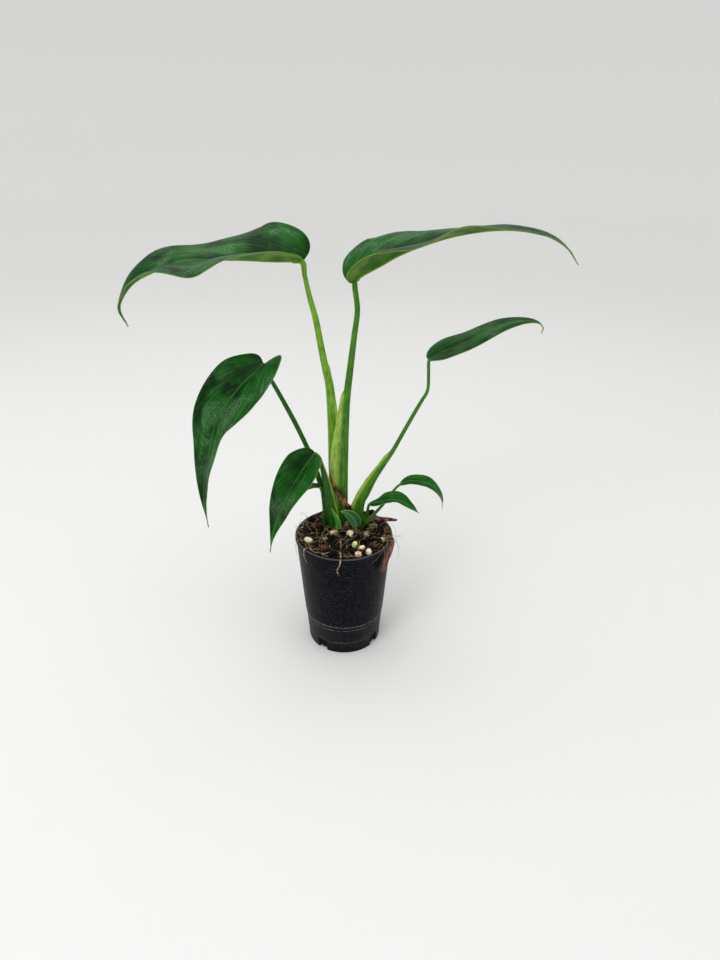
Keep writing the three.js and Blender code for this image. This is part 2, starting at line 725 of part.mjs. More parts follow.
function boxesMeet(first, second) {
  const [a, b] = [first.boundingBox(), second.boundingBox()];
  return [0, 1, 2].every((k) => a.min[k] < b.max[k] && b.min[k] < a.max[k]);
}

const group = new THREE.Group();

function addPiece(name, finish, solid) {
  const material = new THREE.MeshStandardMaterial({ ...FINISHES[finish], metalness: 0 });
  const mesh = new THREE.Mesh(toGeometry(solid), material);
  mesh.name = name;
  group.add(mesh);
}

addPiece('pot', 'pot', pot());

const grownPieces = [];
pieces.forEach(({ name, finish, make }) => {
  let solid = make(0);
  grownPieces.forEach((other) => {
    if (boxesMeet(solid, other)) solid = solid.subtract(other);
  });
  addPiece(name, finish, largestBody(solid));
  if (name !== 'soil') grownPieces.push(make(GAP));
});

export default group;
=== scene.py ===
"""A young climbing monstera in a black nursery pot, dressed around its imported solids.

Lengths in the sizes below are millimetres; meshes are made in metres. The origin is the middle of
the pot's underside, +Z is up and -Y is the front.
"""

from __future__ import annotations

import logging
import math
import random
from collections.abc import Sequence
from dataclasses import dataclass
from enum import Enum

import bpy
import numpy as np
from mathutils import Matrix, Vector, noise

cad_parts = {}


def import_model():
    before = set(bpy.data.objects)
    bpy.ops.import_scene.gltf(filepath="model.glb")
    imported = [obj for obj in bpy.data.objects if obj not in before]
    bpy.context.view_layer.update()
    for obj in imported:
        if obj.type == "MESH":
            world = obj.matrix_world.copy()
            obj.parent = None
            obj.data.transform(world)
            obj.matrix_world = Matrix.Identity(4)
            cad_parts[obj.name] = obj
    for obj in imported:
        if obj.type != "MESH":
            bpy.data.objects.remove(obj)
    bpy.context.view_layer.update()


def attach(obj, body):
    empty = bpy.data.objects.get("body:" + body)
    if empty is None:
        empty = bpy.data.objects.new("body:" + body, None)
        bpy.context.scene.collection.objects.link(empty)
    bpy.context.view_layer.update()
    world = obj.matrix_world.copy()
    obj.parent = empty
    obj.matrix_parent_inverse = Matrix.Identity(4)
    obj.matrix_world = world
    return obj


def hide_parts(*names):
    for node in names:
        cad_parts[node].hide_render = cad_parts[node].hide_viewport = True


MM = 0.001
BODY = "root"
LOG = logging.getLogger("plant")

Array = np.ndarray
Station = tuple[float, float, float, float, float]
Point = tuple[float, float, float]
Span = tuple[float, float]
Socket = bpy.types.NodeSocket
Tone = Socket | Sequence[float]


def colour(code: str) -> tuple[float, float, float, float]:
    """Turns an sRGB hex colour into linear red, green, blue and alpha.

    Args:
        code: Six hex digits.

    Returns:
        The linear colour with alpha 1.
    """
    channels = [int(code[i : i + 2], 16) / 255 for i in (0, 2, 4)]
    linear = [c / 12.92 if c <= 0.04045 else ((c + 0.055) / 1.055) ** 2.4 for c in channels]
    return (*linear, 1.0)


def smooth(low: float, high: float, value: Array) -> Array:
    """Rises smoothly from 0 at low to 1 at high.

    Args:
        low: Where the rise starts.
        high: Where it ends.
        value: The values to map.

    Returns:
        The mapped values, from 0 to 1.
    """
    share = np.clip((value - low) / (high - low), 0, 1)
    return share * share * (3 - 2 * share)


def unit(rows: Array) -> Array:
    """Gives each row's vector a length of 1."""
    return rows / np.maximum(np.linalg.norm(rows, axis=-1, keepdims=True), 1e-9)


def rough_field(points: Array, cell: float, seed: float, octaves: int = 3) -> Array:
    """Reads fractal noise at points.

    Args:
        points: Places in millimetres, one a row.
        cell: Size of the largest bumps, in millimetres.
        seed: Shift that gives each piece a field of its own.
        octaves: How many finer layers are added.

    Returns:
        One value a point, about -1 to 1.
    """
    shift = Vector((seed, seed * 1.7, -seed))
    return np.array([noise.fractal(Vector(p) / cell + shift, 0.6, 2.1, octaves) for p in points])


class Path:
    """A smooth line through stations, whose other columns are carried along."""

    READINGS = 601

    def __init__(self, stations: Sequence[Sequence[float]]) -> None:
        """Keeps the stations, with one more beyond each end.

        Args:
            stations: Rows of x, y, z and any further values.
        """
        rows = np.array(stations, float)
        self.rows = np.vstack([2 * rows[0] - rows[1], rows, 2 * rows[-1] - rows[-2]])
        self.spans = len(rows) - 1
        self.shares = np.linspace(0, 1, self.READINGS)
        fine = self.at(self.shares)[:, :3]
        steps = np.linalg.norm(np.diff(fine, axis=0), axis=1)
        self.distances = np.concatenate([[0], np.cumsum(steps)])
        self.length = float(self.distances[-1])

    def at(self, share: Array) -> Array:
        """Gives the rows at shares of the way.

        Args:
            share: Shares of the way from the first station to the last.

        Returns:
            One row a share, with all the columns of the stations.
        """
        place = np.clip(share, 0, 1) * self.spans
        first = np.minimum(place.astype(int), self.spans - 1)
        q = (place - first)[:, None]
        a, b, c, d = (self.rows[first + k] for k in range(4))
        square = 2 * a - 5 * b + 4 * c - d
        cube = 3 * b - a - 3 * c + d
        return 0.5 * (2 * b + (c - a) * q + square * q**2 + cube * q**3)

    def tangent(self, share: Array, reach: float = 0.01) -> Array:
        """Gives the line's direction at shares of the way."""
        low = np.clip(share - reach, 0, 1 - 2 * reach)
        return unit((self.at(low + 2 * reach) - self.at(low))[:, :3])

    def share_of(self, distance: Array) -> Array:
        """Turns a distance along the line into a share of the way between its ends."""
        return np.interp(distance, self.distances, self.shares)


# The colour Mix node's inputs for the share and for its two colours, and its output.
SHARE, UNDER, OVER = 0, 6, 7
MIXED = 2


class Recipe:
    """One material and its node tree."""

    def __init__(self, name: str) -> None:
        """Starts an empty material with its output.

        Args:
            name: The real material that it stands for.
        """
        self.material = bpy.data.materials.new(name)
        self.material.use_nodes = True
        self.tree = self.material.node_tree
        self.tree.nodes.clear()
        self.output = self.tree.nodes.new("ShaderNodeOutputMaterial")

    def add(self, kind: str, inputs: Sequence | dict, out: int | str = 0, **settings: object) -> Socket:
        """Adds a node with its settings, values and links.

        Args:
            kind: The node's type, without the ShaderNode in front.
            inputs: A value or an output socket for each input, in order or by name or number.
            out: The output that is given back.
            settings: The node's own properties.

        Returns:
            One output of the new node.
        """
        node = self.tree.nodes.new("ShaderNode" + kind)
        for key, value in settings.items():
            setattr(node, key, value)
        pairs = inputs.items() if isinstance(inputs, dict) else enumerate(inputs)
        for key, value in pairs:
            if isinstance(value, bpy.types.NodeSocket):
                self.tree.links.new(value, node.inputs[key])
            else:
                node.inputs[key].default_value = value
        return node.outputs[out]

    def spots(
        self, place: Socket, size: float, low: float, high: float, least: float = 0.0, **noise: float
    ) -> tuple[Socket, Socket]:
        """Lays out spots of noise, and a mask that rises to 1 between two of the noise's values.

        Args:
            place: Where the noise is read.
            size: How wide its largest spots are, in the unit of the place.
            low: The value where the mask starts to rise.
            high: The value where it is full.
            least: The mask's value between the spots.
            noise: The noise's other inputs.

        Returns:
            The noise and its mask.
        """
        values = self.add("TexNoise", {"Vector": place, "Scale": 1 / size, **noise})
        ends = [values, low, high, least, 1.0]
        return values, self.add("MapRange", ends, interpolation_type="SMOOTHSTEP")

    def coats(self, base: Tone, *coats: tuple[Socket, float, Tone]) -> Tone:
        """Lays colours over a base, one after another.

        Args:
            base: The lowest colour.
            coats: For each colour, the mask where it shows, how strong it is there, and the colour.

        Returns:
            The colour of the whole.
        """
        tone = base
        for mask, strength, over in coats:
            share = self.add("Math", [mask, strength], operation="MULTIPLY")
            tone = self.add("Mix", {SHARE: share, UNDER: tone, OVER: over}, MIXED, data_type="RGBA")
        return tone

    def finish(self, inputs: dict, height: Socket, depth: float) -> bpy.types.Material:
        """Closes the tree with a bump and the surface shader.

        Args:
            inputs: Values and sockets of the Principled shader.
            height: The bump's height, from 0 to 1.
            depth: How high the bump stands, in millimetres.

        Returns:
            The finished material.
        """
        bump = self.add("Bump", {"Height": height, "Distance": depth * MM, "Strength": 1.0})
        shader = self.add("BsdfPrincipled", {**inputs, "Normal": bump})
        self.tree.links.new(shader, self.output.inputs[0])
        return self.material


def leaf_fields(r: Recipe, skin: LeafUpper | LeafLower) -> tuple[Socket, ...]:
    """Reads the blade attribute, and draws the leaf's side veins, midrib and margin from it.

    The attribute holds the ways along the midrib, to the side of it and in from the margin, in mm.
    The side veins leave the midrib one spacing apart and sweep towards the tip.

    Args:
        r: The recipe that the nodes go into.
        skin: The skin that gives the sizes.

    Returns:
        The attribute, the ways along and to the side, and masks of the veins, midrib and margin.
    """
    place = r.add("Attribute", {}, "Vector", attribute_name="blade")
    along, side, inset = (r.add("SeparateXYZ", [place], axis) for axis in range(3))
    across = r.add("Math", [side], operation="ABSOLUTE")
    square = r.add("Math", [across, across], operation="MULTIPLY")
    bend = r.add("Math", [square, skin.vein_bend], operation="MULTIPLY")
    lean = r.add("Math", [across, skin.vein_lean, bend], operation="MULTIPLY_ADD")
    run = r.add("Math", [along, lean], operation="SUBTRACT")
    from_vein = r.add("Math", [run, skin.vein_spacing / 2], operation="PINGPONG")
    fades = ((from_vein, skin.vein_fade), (across, skin.rib_fade), (inset, skin.margin_fade))
    masks = [
        r.add("MapRange", [away, *fade, 1.0, 0.0], interpolation_type="SMOOTHSTEP") for away, fade in fades
    ]
    return place, along, side, *masks


@dataclass(frozen=True)
class LeafUpper:
    """The upper skin of a living aroid leaf: dark green and waxy, with streaks that fan from the stalk and
    painted sheen.

    Sizes are in mm, and a fade is where a line starts to fade and where it has gone.
    """

    name: str
    deep: str
    fresh: str
    # Grey green of the painted sheen and painted highlight, also used for the whitish blemishes.
    sheen_and_blemish: str
    rib: str
    vein_spacing: float = 8.0
    vein_lean: float = 2.0
    vein_bend: float = 0.012
    vein_fade: Span = (0.1, 1.0)
    rib_fade: Span = (0.24, 1.02)
    margin_fade: Span = (0.15, 0.6)
    fan_start: float = 14.0
    fan_spread: float = 55.0
    streak_stretch: float = 0.05
    streak_size: float = 1 / 0.42
    cloud_size: float = 25.0
    sheen_patch_size: float = 32.0
    fleck_size: float = 1.7
    mark_size: float = 3.2
    pore_size: float = 0.7
    roughness: float = 0.34
    relief: float = 0.14

    def material(self) -> bpy.types.Material:
        """Makes the material.

        Returns:
            The finished material.
        """
        r = Recipe(self.name)
        deep, fresh, sheen_and_blemish, pale = (colour(c) for c in (self.deep, self.fresh, self.sheen_and_blemish, self.rib))
        place, along, side, vein, rib, margin = leaf_fields(r, self)
        # Streaks fan out from the stalk: long along the way from it, and about 1 to 3 mm apart.
        ahead = r.add("Math", [along, self.fan_start], operation="ADD")
        fan = r.add("Math", [side, ahead], operation="ARCTAN2")
        spread = r.add("Math", [fan, self.fan_spread], operation="MULTIPLY")
        stretched = r.add("Math", [along, self.streak_stretch], operation="MULTIPLY")
        swept = r.add("CombineXYZ", [stretched, spread, 0.0])
        streaks, streak = r.spots(swept, self.streak_size, 0.42, 0.7, Detail=4.0, Roughness=0.62)
        # Light and dark clouds, patches of painted silvery sheen that are broken into flecks, and a few
        # whitish blemishes.
        _, cloud = r.spots(place, self.cloud_size, 0.36, 0.64, Detail=3.0, Roughness=0.55)
        _, sheen_patch = r.spots(place, self.sheen_patch_size, 0.52, 0.66, Detail=2.0, Distortion=0.6)
        _, fleck = r.spots(place, self.fleck_size, 0.44, 0.66, 0.15, Detail=3.0, Roughness=0.65)
        _, mark = r.spots(place, self.mark_size, 0.71, 0.77, Detail=2.0, Roughness=0.7)
        broken = r.add("Math", [sheen_patch, fleck], operation="MULTIPLY")
        lit = r.add("Math", [streak, 0.55, cloud], operation="MULTIPLY_ADD")
        # The glint is a painted highlight where the streaks and the clouds meet.
        glint = r.add("Math", [streak, cloud], operation="MULTIPLY")
        tone = r.coats(
            deep,
            (lit, 0.62, fresh),
            (broken, 0.34, sheen_and_blemish),
            (glint, 0.13, sheen_and_blemish),
            (vein, 0.04, pale),
            (rib, 0.5, pale),
            (margin, 0.5, pale),
            (mark, 0.6, sheen_and_blemish),
        )
        # The leaf is a little rougher where the sheen is painted.
        dull = r.add("Math", [broken, 0.2, self.roughness], operation="MULTIPLY_ADD")
        pores = r.add("TexNoise", {"Vector": place, "Scale": 1 / self.pore_size, "Detail": 2.0})
        sunk = r.add("Math", [vein, -0.6, pores], operation="MULTIPLY_ADD")
        height = r.add("Math", [streaks, 0.6, sunk], operation="MULTIPLY_ADD")
        looks = {"Base Color": tone, "Roughness": dull, "Specular IOR Level": 0.1}
        return r.finish(looks, height, self.relief)


@dataclass(frozen=True)
class LeafLower:
    """The under skin of the leaf: olive green and matt, with paler clouds and its veins standing out.

    Sizes are in mm, and a fade is where a line starts to fade and where it has gone.
    """

    name: str
    deep: str
    pale: str
    rib: str
    vein_spacing: float = 8.0
    vein_lean: float = 2.0
    vein_bend: float = 0.012
    vein_fade: Span = (0.1, 0.8)
    rib_fade: Span = (0.8, 1.8)
    margin_fade: Span = (0.2, 0.7)
    cloud_size: float = 14.0
    pore_size: float = 0.6
    roughness: float = 0.5
    relief: float = 0.16

    def material(self) -> bpy.types.Material:
        """Makes the material.

        Returns:
            The finished material.
        """
        r = Recipe(self.name)
        deep, pale, ribbed = (colour(c) for c in (self.deep, self.pale, self.rib))
        place, _, _, vein, rib, margin = leaf_fields(r, self)
        _, cloud = r.spots(place, self.cloud_size, 0.36, 0.68, Detail=4.0)
        tone = r.coats(
            deep, (cloud, 1.0, pale), (vein, 0.16, ribbed), (rib, 0.6, ribbed), (margin, 0.5, ribbed)
        )
        pores = r.add("TexNoise", {"Vector": place, "Scale": 1 / self.pore_size, "Detail": 2.0})
        height = r.add("Math", [vein, 0.6, pores], operation="MULTIPLY_ADD")
        looks = {"Base Color": tone, "Roughness": self.roughness, "Specular IOR Level": 0.1}
        return r.finish(looks, height, self.relief)


@dataclass(frozen=True)
class StalkSkin:
    """The skin of a living petiole: smooth and a little waxy, with fine lengthwise streaks.

    It reads the stalk attribute: how pale, how far along in mm, and the turn around in radians.
    """

    name: str
    light: str
    dark: str
    pale: str
    streak_stretch: float = 0.04
    streak_size: float = 1 / 4.4
    patch_size: float = 14.0
    spot_size: float = 0.9
    roughness: float = 0.36
    relief: float = 0.12

    def material(self) -> bpy.types.Material:
        """Makes the material.

        Returns:
            The finished material.
        """
        r = Recipe(self.name)
        light, dark, pale = (colour(c) for c in (self.light, self.dark, self.pale))
        stalk = r.add("Attribute", {}, "Vector", attribute_name="stalk")
        paleness, along, turn = (r.add("SeparateXYZ", [stalk], axis) for axis in range(3))
        # Wrapped round the stalk, so that the streaks run lengthwise and meet without a seam.
        stretched = r.add("Math", [along, self.streak_stretch], operation="MULTIPLY")
        cosine, sine = (r.add("Math", [turn], operation=name) for name in ("COSINE", "SINE"))
        wrapped = r.add("CombineXYZ", [stretched, cosine, sine])
        streaks, streak = r.spots(wrapped, self.streak_size, 0.38, 0.66, Detail=4.0, Roughness=0.6)
        point = r.add("TexCoord", {}, "Object")
        _, patch = r.spots(point, self.patch_size * MM, 0.36, 0.64, Detail=3.0)
        patched = r.add("Math", [patch, 0.25], operation="MULTIPLY")
        share = r.add("Math", [streak, 0.7, patched], operation="MULTIPLY_ADD")
        # The thin margin of a sheath is pale, broken by green streaks.
        torn = r.add("MapRange", [streaks, 0.3, 0.62, 0.35, 1.0], interpolation_type="SMOOTHSTEP")
        margin = r.add("Math", [paleness, torn], operation="MULTIPLY")
        dots, dot = r.spots(point, self.spot_size * MM, 0.66, 0.74, Detail=2.0)
        tone = r.coats(dark, (share, 1.0, light), (margin, 1.0, pale), (dot, 0.25, pale))
        height = r.add("Math", [streaks, 0.6, dots], operation="MULTIPLY_ADD")
        looks = {"Base Color": tone, "Roughness": self.roughness, "Specular IOR Level": 0.25}
        flesh = {"Subsurface Weight": 0.08, "Subsurface Scale": 0.002}
        return r.finish({**looks, **flesh}, height, self.relief)


@dataclass(frozen=True)
class PotPlastic:
    """Injection-moulded black polypropylene: satin, dusty, and scuffed pale on its rings and rim.

    The dust is grit that lies in clouds, with single specks of perlite well under 1 mm among it.
    """

    name: str = "moulded polypropylene, black"
    # The black is tinted a little blue: a painted bluish reflection.
    black: str = "03040a"
    dust: str = "181922"
    scuff: str = "8f9094"
    ring_heights: tuple[float, ...] = (31.3, 27.0, 12.0)
    ring_strengths: tuple[float, ...] = (1.0, 0.6, 0.55)
    ring_fade: Span = (0.15, 0.6)
    rim_rise: Span = (108.55, 108.8)
    rim_strength: float = 0.22
    grit_size: float = 1.1
    cloud_size: float = 17.0
    speck_size: float = 0.6
    speck_strength: float = 0.45
    wear_size: float = 2.6
    ripple_size: float = 5.0
    gloss: Span = (0.36, 0.6)
    relief: float = 0.09

    def material(self) -> bpy.types.Material:
        """Makes the material.

        Returns:
            The finished material.
        """
        r = Recipe(self.name)
        black, dust, scuff = (colour(c) for c in (self.black, self.dust, self.scuff))
        place = r.add("TexCoord", {}, "Object")
        metres = r.add("SeparateXYZ", [place], 2)
        height = r.add("Math", [metres, 1 / MM], operation="MULTIPLY")
        grits, grit = r.spots(place, self.grit_size * MM, 0.5, 0.7, 0.1, Detail=3.0, Roughness=0.7)
        _, cloud = r.spots(place, self.cloud_size * MM, 0.34, 0.66, 0.25, Detail=3.0)
        _, speck = r.spots(place, self.speck_size * MM, 0.66, 0.74, Detail=1.0)
        _, broken = r.spots(place, self.wear_size * MM, 0.4, 0.56, Detail=5.0, Roughness=0.7)
        dusty = r.add("Math", [grit, cloud], operation="MULTIPLY")
        worn = r.add("Math", [speck, self.speck_strength], operation="MULTIPLY")
        for ring, strength in zip(self.ring_heights, self.ring_strengths):
            above = r.add("Math", [height, ring], operation="SUBTRACT")
            away = r.add("Math", [above], operation="ABSOLUTE")
            band_ends = [away, *self.ring_fade, strength, 0.0]
            band = r.add("MapRange", band_ends, interpolation_type="SMOOTHSTEP")
            line = r.add("Math", [band, broken], operation="MULTIPLY")
            worn = r.add("Math", [line, worn], operation="MAXIMUM")
        rim_ends = [height, *self.rim_rise, 0.0, self.rim_strength]
        rim = r.add("MapRange", rim_ends, interpolation_type="SMOOTHSTEP")
        worn = r.add("Math", [rim, worn], operation="MAXIMUM")
        tone = r.coats(black, (dusty, 1.0, dust), (worn, 1.0, scuff))
        gloss = r.add("MapRange", [dusty, 0.0, 1.0, *self.gloss])
        ripples = r.add("TexNoise", {"Vector": place, "Scale": 1 / (self.ripple_size * MM), "Detail": 3.0})
        surface = r.add("Math", [grits, 0.4, ripples], operation="MULTIPLY_ADD")
        looks = {"Base Color": tone, "Roughness": gloss, "Specular IOR Level": 0.06}
        return r.finish(looks, surface, self.relief)


@dataclass(frozen=True)
class Crumbly:
    """A rough plant or mineral matter: bark, peat, roots, dry sheaths or porous grains.

    It has lumps of one cell, in mm, and crumbs that are a share of it. With toned set, the tone
    attribute picks between its dark and its light colour.
    """

    name: str
    dark: str
    middle: str
    light: str
    cell: float
    roughness: float = 0.9
    depth: float = 0.35
    stretch: Point = (1.0, 1.0, 1.0)
    toned: bool = False
    crumb_share: float = 0.22

    def material(self) -> bpy.types.Material:
        """Makes the material.

        Returns:
            The finished material.
        """
        r = Recipe(self.name)
        dark, middle, light = (colour(c) for c in (self.dark, self.middle, self.light))
        place = r.add("TexCoord", {}, "Object")
        swept = r.add("Mapping", {"Vector": place, "Scale": self.stretch})
        coarse, share = r.spots(swept, self.cell * MM, 0.34, 0.68, Detail=5.0, Roughness=0.65)
        crumb_scale = 1 / (self.cell * self.crumb_share * MM)
        fine = r.add("TexNoise", {"Vector": swept, "Scale": crumb_scale, "Detail": 3.0, "Roughness": 0.6})
        if self.toned:
            tone_share = r.add("Attribute", {}, "Fac", attribute_name="tone")
            base = r.add("Math", [tone_share, 0.8], operation="MULTIPLY")
            share = r.add("Math", [share, 0.35, base], operation="MULTIPLY_ADD")
        low, high = (r.add("MapRange", [share, start, start + 0.5, 0.0, 1.0]) for start in (0.0, 0.5))
        tone = r.coats(dark, (low, 1.0, middle), (high, 1.0, light))
        height = r.add("Math", [fine, 0.5, coarse], operation="MULTIPLY_ADD")
        looks = {"Base Color": tone, "Roughness": self.roughness, "Specular IOR Level": 0.2}
        return r.finish(looks, height, self.depth)


Finish = LeafUpper | LeafLower | StalkSkin | PotPlastic | Crumbly
MATERIALS: dict[str, bpy.types.Material] = {}


def material_of(skin: Finish) -> bpy.types.Material:
    """Gives a finish's material, made at its first use.

    Args:
        skin: The finish.

    Returns:
        Its material.
    """
    if skin.name not in MATERIALS:
        MATERIALS[skin.name] = skin.material()
    return MATERIALS[skin.name]


class LeafAge(Enum):
    """How old a leaf is, which gives its skins."""

    GROWN = "grown"
    YOUNG = "young"
    TENDER = "tender"


class StalkTone(Enum):
    """The green of a stalk."""

    LIME = "lime"
    MID = "mid green"
    DEEP = "deep green"


class GrainTint(Enum):
    """The tint of a mineral grain."""

    CREAM = "cream"
    PEACH = "peach"
    ALGAE = "algae green"
    MINT = "mint green"
    OLIVE = "olive"
    GREY = "grey green"


# Grown leaves are a dark green with a painted silvery sheen, young ones are fresher and the tender one is a
# soft grey green. The veins are closer together on the smaller leaves.
UPPER_SKINS = {
    LeafAge.GROWN: LeafUpper("leaf upper skin, grown", "001c02", "0f5a08", "7c9e7c", "4f8a3a"),
    LeafAge.YOUNG: LeafUpper("leaf upper skin, young", "012c03", "126408", "6f9f6a", "4f8a3a", 5.0),
    LeafAge.TENDER: LeafUpper("leaf upper skin, tender", "25562c", "4c7f4f", "86a886", "86ac7c", 4.0),
}
LOWER_SKINS = {
    LeafAge.GROWN: LeafLower("leaf under skin, grown", "2a5a02", "5a841c", "82a048"),
    LeafAge.YOUNG: LeafLower("leaf under skin, young", "376a18", "5f9440", "8fae62", 5.0),
    LeafAge.TENDER: LeafLower("leaf under skin, tender", "4c7f45", "6f9a62", "8fb283", 4.0),
}
# Petioles are juicy and a little glossy, from lime on a high leaf to deep green on the low ones.
STALK_SKINS = {
    StalkTone.LIME: StalkSkin("petiole skin, lime", "88b834", "467c08", "c0d67a"),
    StalkTone.MID: StalkSkin("petiole skin, mid green", "528c18", "1f5a04", "a6c656"),
    StalkTone.DEEP: StalkSkin("petiole skin, deep green", "2a7008", "0c4402", "b9cf62"),
}
SHOOT_SKIN = StalkSkin("new shoot skin", "4f9a3a", "2d7422", "b8d67a")
# Thin, matt and brown, with paler streaks running up it.
PAPERY = Crumbly("dried sheath, papery", "20120a", "5a3a22", "a07a4c", 3.0, 0.85, 0.3, (1.0, 1.0, 0.25))
# Dry cut tissue: grey brown, rough and matt.
STUB_BARK = Crumbly("cut stem stub", "2a1c14", "5f4636", "8f7860", 2.2)
# Bark is flaky: plum brown where it is clean and rust brown where it is broken.
BARK = Crumbly("pine bark, plum brown", "3a2420", "6c483c", "9a7462", 3.5, 0.85, 0.5, (1.0, 1.0, 0.35))
RUST_BARK = Crumbly("pine bark, rust brown", "1c0e08", "4a2a1a", "8c6444", 2.5, 0.85, 0.5)
# Dry roots are grey tan and nearly smooth.
ROOT_SKIN = Crumbly("dry root", "4a3e2c", "867658", "c0b394", 2.0, 0.75, 0.15)
# Nearly black and damp, with rust and tan bits picked out by the tone of each.
MIX = Crumbly("potting mix of bark and peat", "010101", "0d0805", "644632", 2.0, 0.92, 0.6, toned=True)
# Coir is straw coloured, each fibre lighter or darker than the next.
FIBRE = Crumbly("coir fibre", "3a2a18", "8a7048", "d2bd8c", 1.5, 0.8, 0.1, toned=True)
# Pumice is matt and pitted, bright where it is dry and green where algae grow on it.
GRAIN_COLOURS = {
    GrainTint.CREAM: ("d8c496", "ffefd2", "fffdf6"),
    GrainTint.PEACH: ("cf9a70", "fac8a0", "ffead0"),
    GrainTint.ALGAE: ("98a845", "dfe88a", "fafad2"),
    GrainTint.MINT: ("6f8a5a", "b0cc94", "e4f0cc"),
    GrainTint.OLIVE: ("3c4426", "6f7a48", "9aa474"),
    GrainTint.GREY: ("4a4c38", "7d8066", "a9aa8e"),
}
GRAIN_SKINS = {
    tint: Crumbly("pumice, " + tint.value, *codes, 1.6, 0.9, 0.5) for tint, codes in GRAIN_COLOURS.items()
}


def deselect() -> None:
    """Leaves edit mode and clears the selection, so that the next operator acts on one piece."""
    if bpy.context.object and bpy.context.object.mode != "OBJECT":
        bpy.ops.object.mode_set(mode="OBJECT")
    bpy.ops.object.select_all(action="DESELECT")


def places(piece: bpy.types.Object) -> Array:
    """Reads a piece's corners.

    Args:
        piece: A mesh object.

    Returns:
        One row of x, y and z for each corner.
    """
    flat = np.empty(len(piece.data.vertices) * 3)
    piece.data.vertices.foreach_get("co", flat)
    return flat.reshape(-1, 3)


def put(piece: bpy.types.Object, corners: Array) -> None:
    """Moves a piece's corners to places given in millimetres."""
    piece.data.vertices.foreach_set("co", (corners * MM).astype(np.float32).ravel())
    piece.data.update()


def store(piece: bpy.types.Object, name: str, values: Array) -> None:
    """Keeps one value or vector for each corner of a piece as an attribute.

    Args:
        piece: A mesh object.
        name: The attribute's name.
        values: One value or one vector a corner.
    """
    kind = "FLOAT" if values.ndim == 1 else "FLOAT_VECTOR"
    field = "value" if values.ndim == 1 else "vector"
    attribute = piece.data.attributes.new(name, kind, "POINT")
    attribute.data.foreach_set(field, values.astype(np.float32).ravel())


def add_tube(name: str, sides: int, rings: int) -> bpy.types.Object:
    """Adds a cylinder of radius 1 and height 1, with its wall cut into rings.

    Args:
        name: The piece's name.
        sides: How many sides it has.
        rings: How many cuts go round its wall.

    Returns:
        The new piece.
    """
    deselect()
    bpy.ops.mesh.primitive_cylinder_add(vertices=sides, radius=1, depth=1, location=(0, 0, 0.5))
    piece = bpy.context.object
    piece.name = name
    bpy.ops.object.transform_apply(location=True)
    corners = places(piece)
    bpy.ops.object.mode_set(mode="EDIT")
    bpy.ops.mesh.select_mode(type="EDGE")
    bpy.ops.mesh.select_all(action="DESELECT")
    bpy.ops.object.mode_set(mode="OBJECT")
    for edge in piece.data.edges:
        first, second = edge.vertices
        edge.select = abs(corners[first][2] - corners[second][2]) > 0.5
    bpy.ops.object.mode_set(mode="EDIT")
    bpy.ops.mesh.subdivide(number_cuts=rings)
    bpy.ops.object.mode_set(mode="OBJECT")
    return piece


def add_sheet(name: str, rows: int, columns: int) -> bpy.types.Object:
    """Adds a flat square grid from -1 to 1.

    Args:
        name: The piece's name.
        rows: How many cells it has along X.
        columns: How many cells it has along Y.

    Returns:
        The new piece.
    """
    deselect()
    bpy.ops.mesh.primitive_grid_add(x_subdivisions=rows, y_subdivisions=columns, size=2)
    piece = bpy.context.object
    piece.name = name
    return piece


def apply_modifier(piece: bpy.types.Object, kind: str, **settings: object) -> None:
    """Adds a modifier with its settings and applies it.

    Args:
        piece: The piece to change.
        kind: The modifier's type.
        settings: Its properties.
    """
    deselect()
    bpy.context.view_layer.objects.active = piece
    piece.select_set(True)
    modifier = piece.modifiers.new(kind, kind)
    for key, value in settings.items():
        setattr(modifier, key, value)
    bpy.ops.object.modifier_apply(modifier=modifier.name)


def shade(piece: bpy.types.Object, degrees: float) -> None:
    """Shades a piece smooth, except across sharp edges.

    Args:
        piece: A mesh object.
        degrees: The angle from which an edge is sharp.
    """
    deselect()
    bpy.context.view_layer.objects.active = piece
    piece.select_set(True)
    bpy.ops.object.shade_smooth_by_angle(angle=math.radians(degrees))


def hand_over(
    piece: bpy.types.Object,
    nodes: Sequence[str],
    skins: Sequence[Finish],
) -> bpy.types.Object:
    """Dresses a finished piece and ties it to the frame.

    Args:
        piece: The finished mesh object.
        nodes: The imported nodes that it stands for.
        skins: Its finishes, in the order of its faces' slots, or none where it has them already.

    Returns:
        The same piece.
    """
    for skin in skins:
        piece.data.materials.append(material_of(skin))
    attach(piece, BODY)
    if nodes:
        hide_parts(*nodes)
    LOG.info("%s: %d corners", piece.name, len(piece.data.vertices))
    return piece


def extrude_rings(profile: Sequence[Span], metres: float) -> None:
    """Extrudes the selected ring of edges through the rest of a profile.

    Args:
        profile: Radius and height of each ring, the selected one first.
        metres: The length of the profile's unit in metres.
    """
    for (radius, height), (next_radius, next_height) in zip(profile, profile[1:]):
        rise = (next_height - height) * metres
        bpy.ops.mesh.extrude_edges_move(TRANSFORM_OT_translate={"value": (0, 0, rise)})
        growth = next_radius / radius
        middle = (0, 0, next_height * metres)
        bpy.ops.transform.resize(value=(growth, growth, 1), center_override=middle)


def loose_piece(name: str, points: Array, faces: list, tones: Array, degrees: float) -> bpy.types.Object:
    """Makes one piece of many small closed shapes, with a tone for each corner.

    Args:
        name: The piece's name.
        points: The corners in millimetres, one a row.
        faces: The corners of each face.
        tones: One tone a corner.
        degrees: The angle up to which it is shaded smooth.

    Returns:
        The new piece.
    """
    mesh = bpy.data.meshes.new(name)
    mesh.from_pydata((points * MM).tolist(), [], faces)
    piece = bpy.data.objects.new(name, mesh)
    bpy.context.collection.objects.link(piece)
    store(piece, "tone", tones)
    shade(piece, degrees)
    return piece


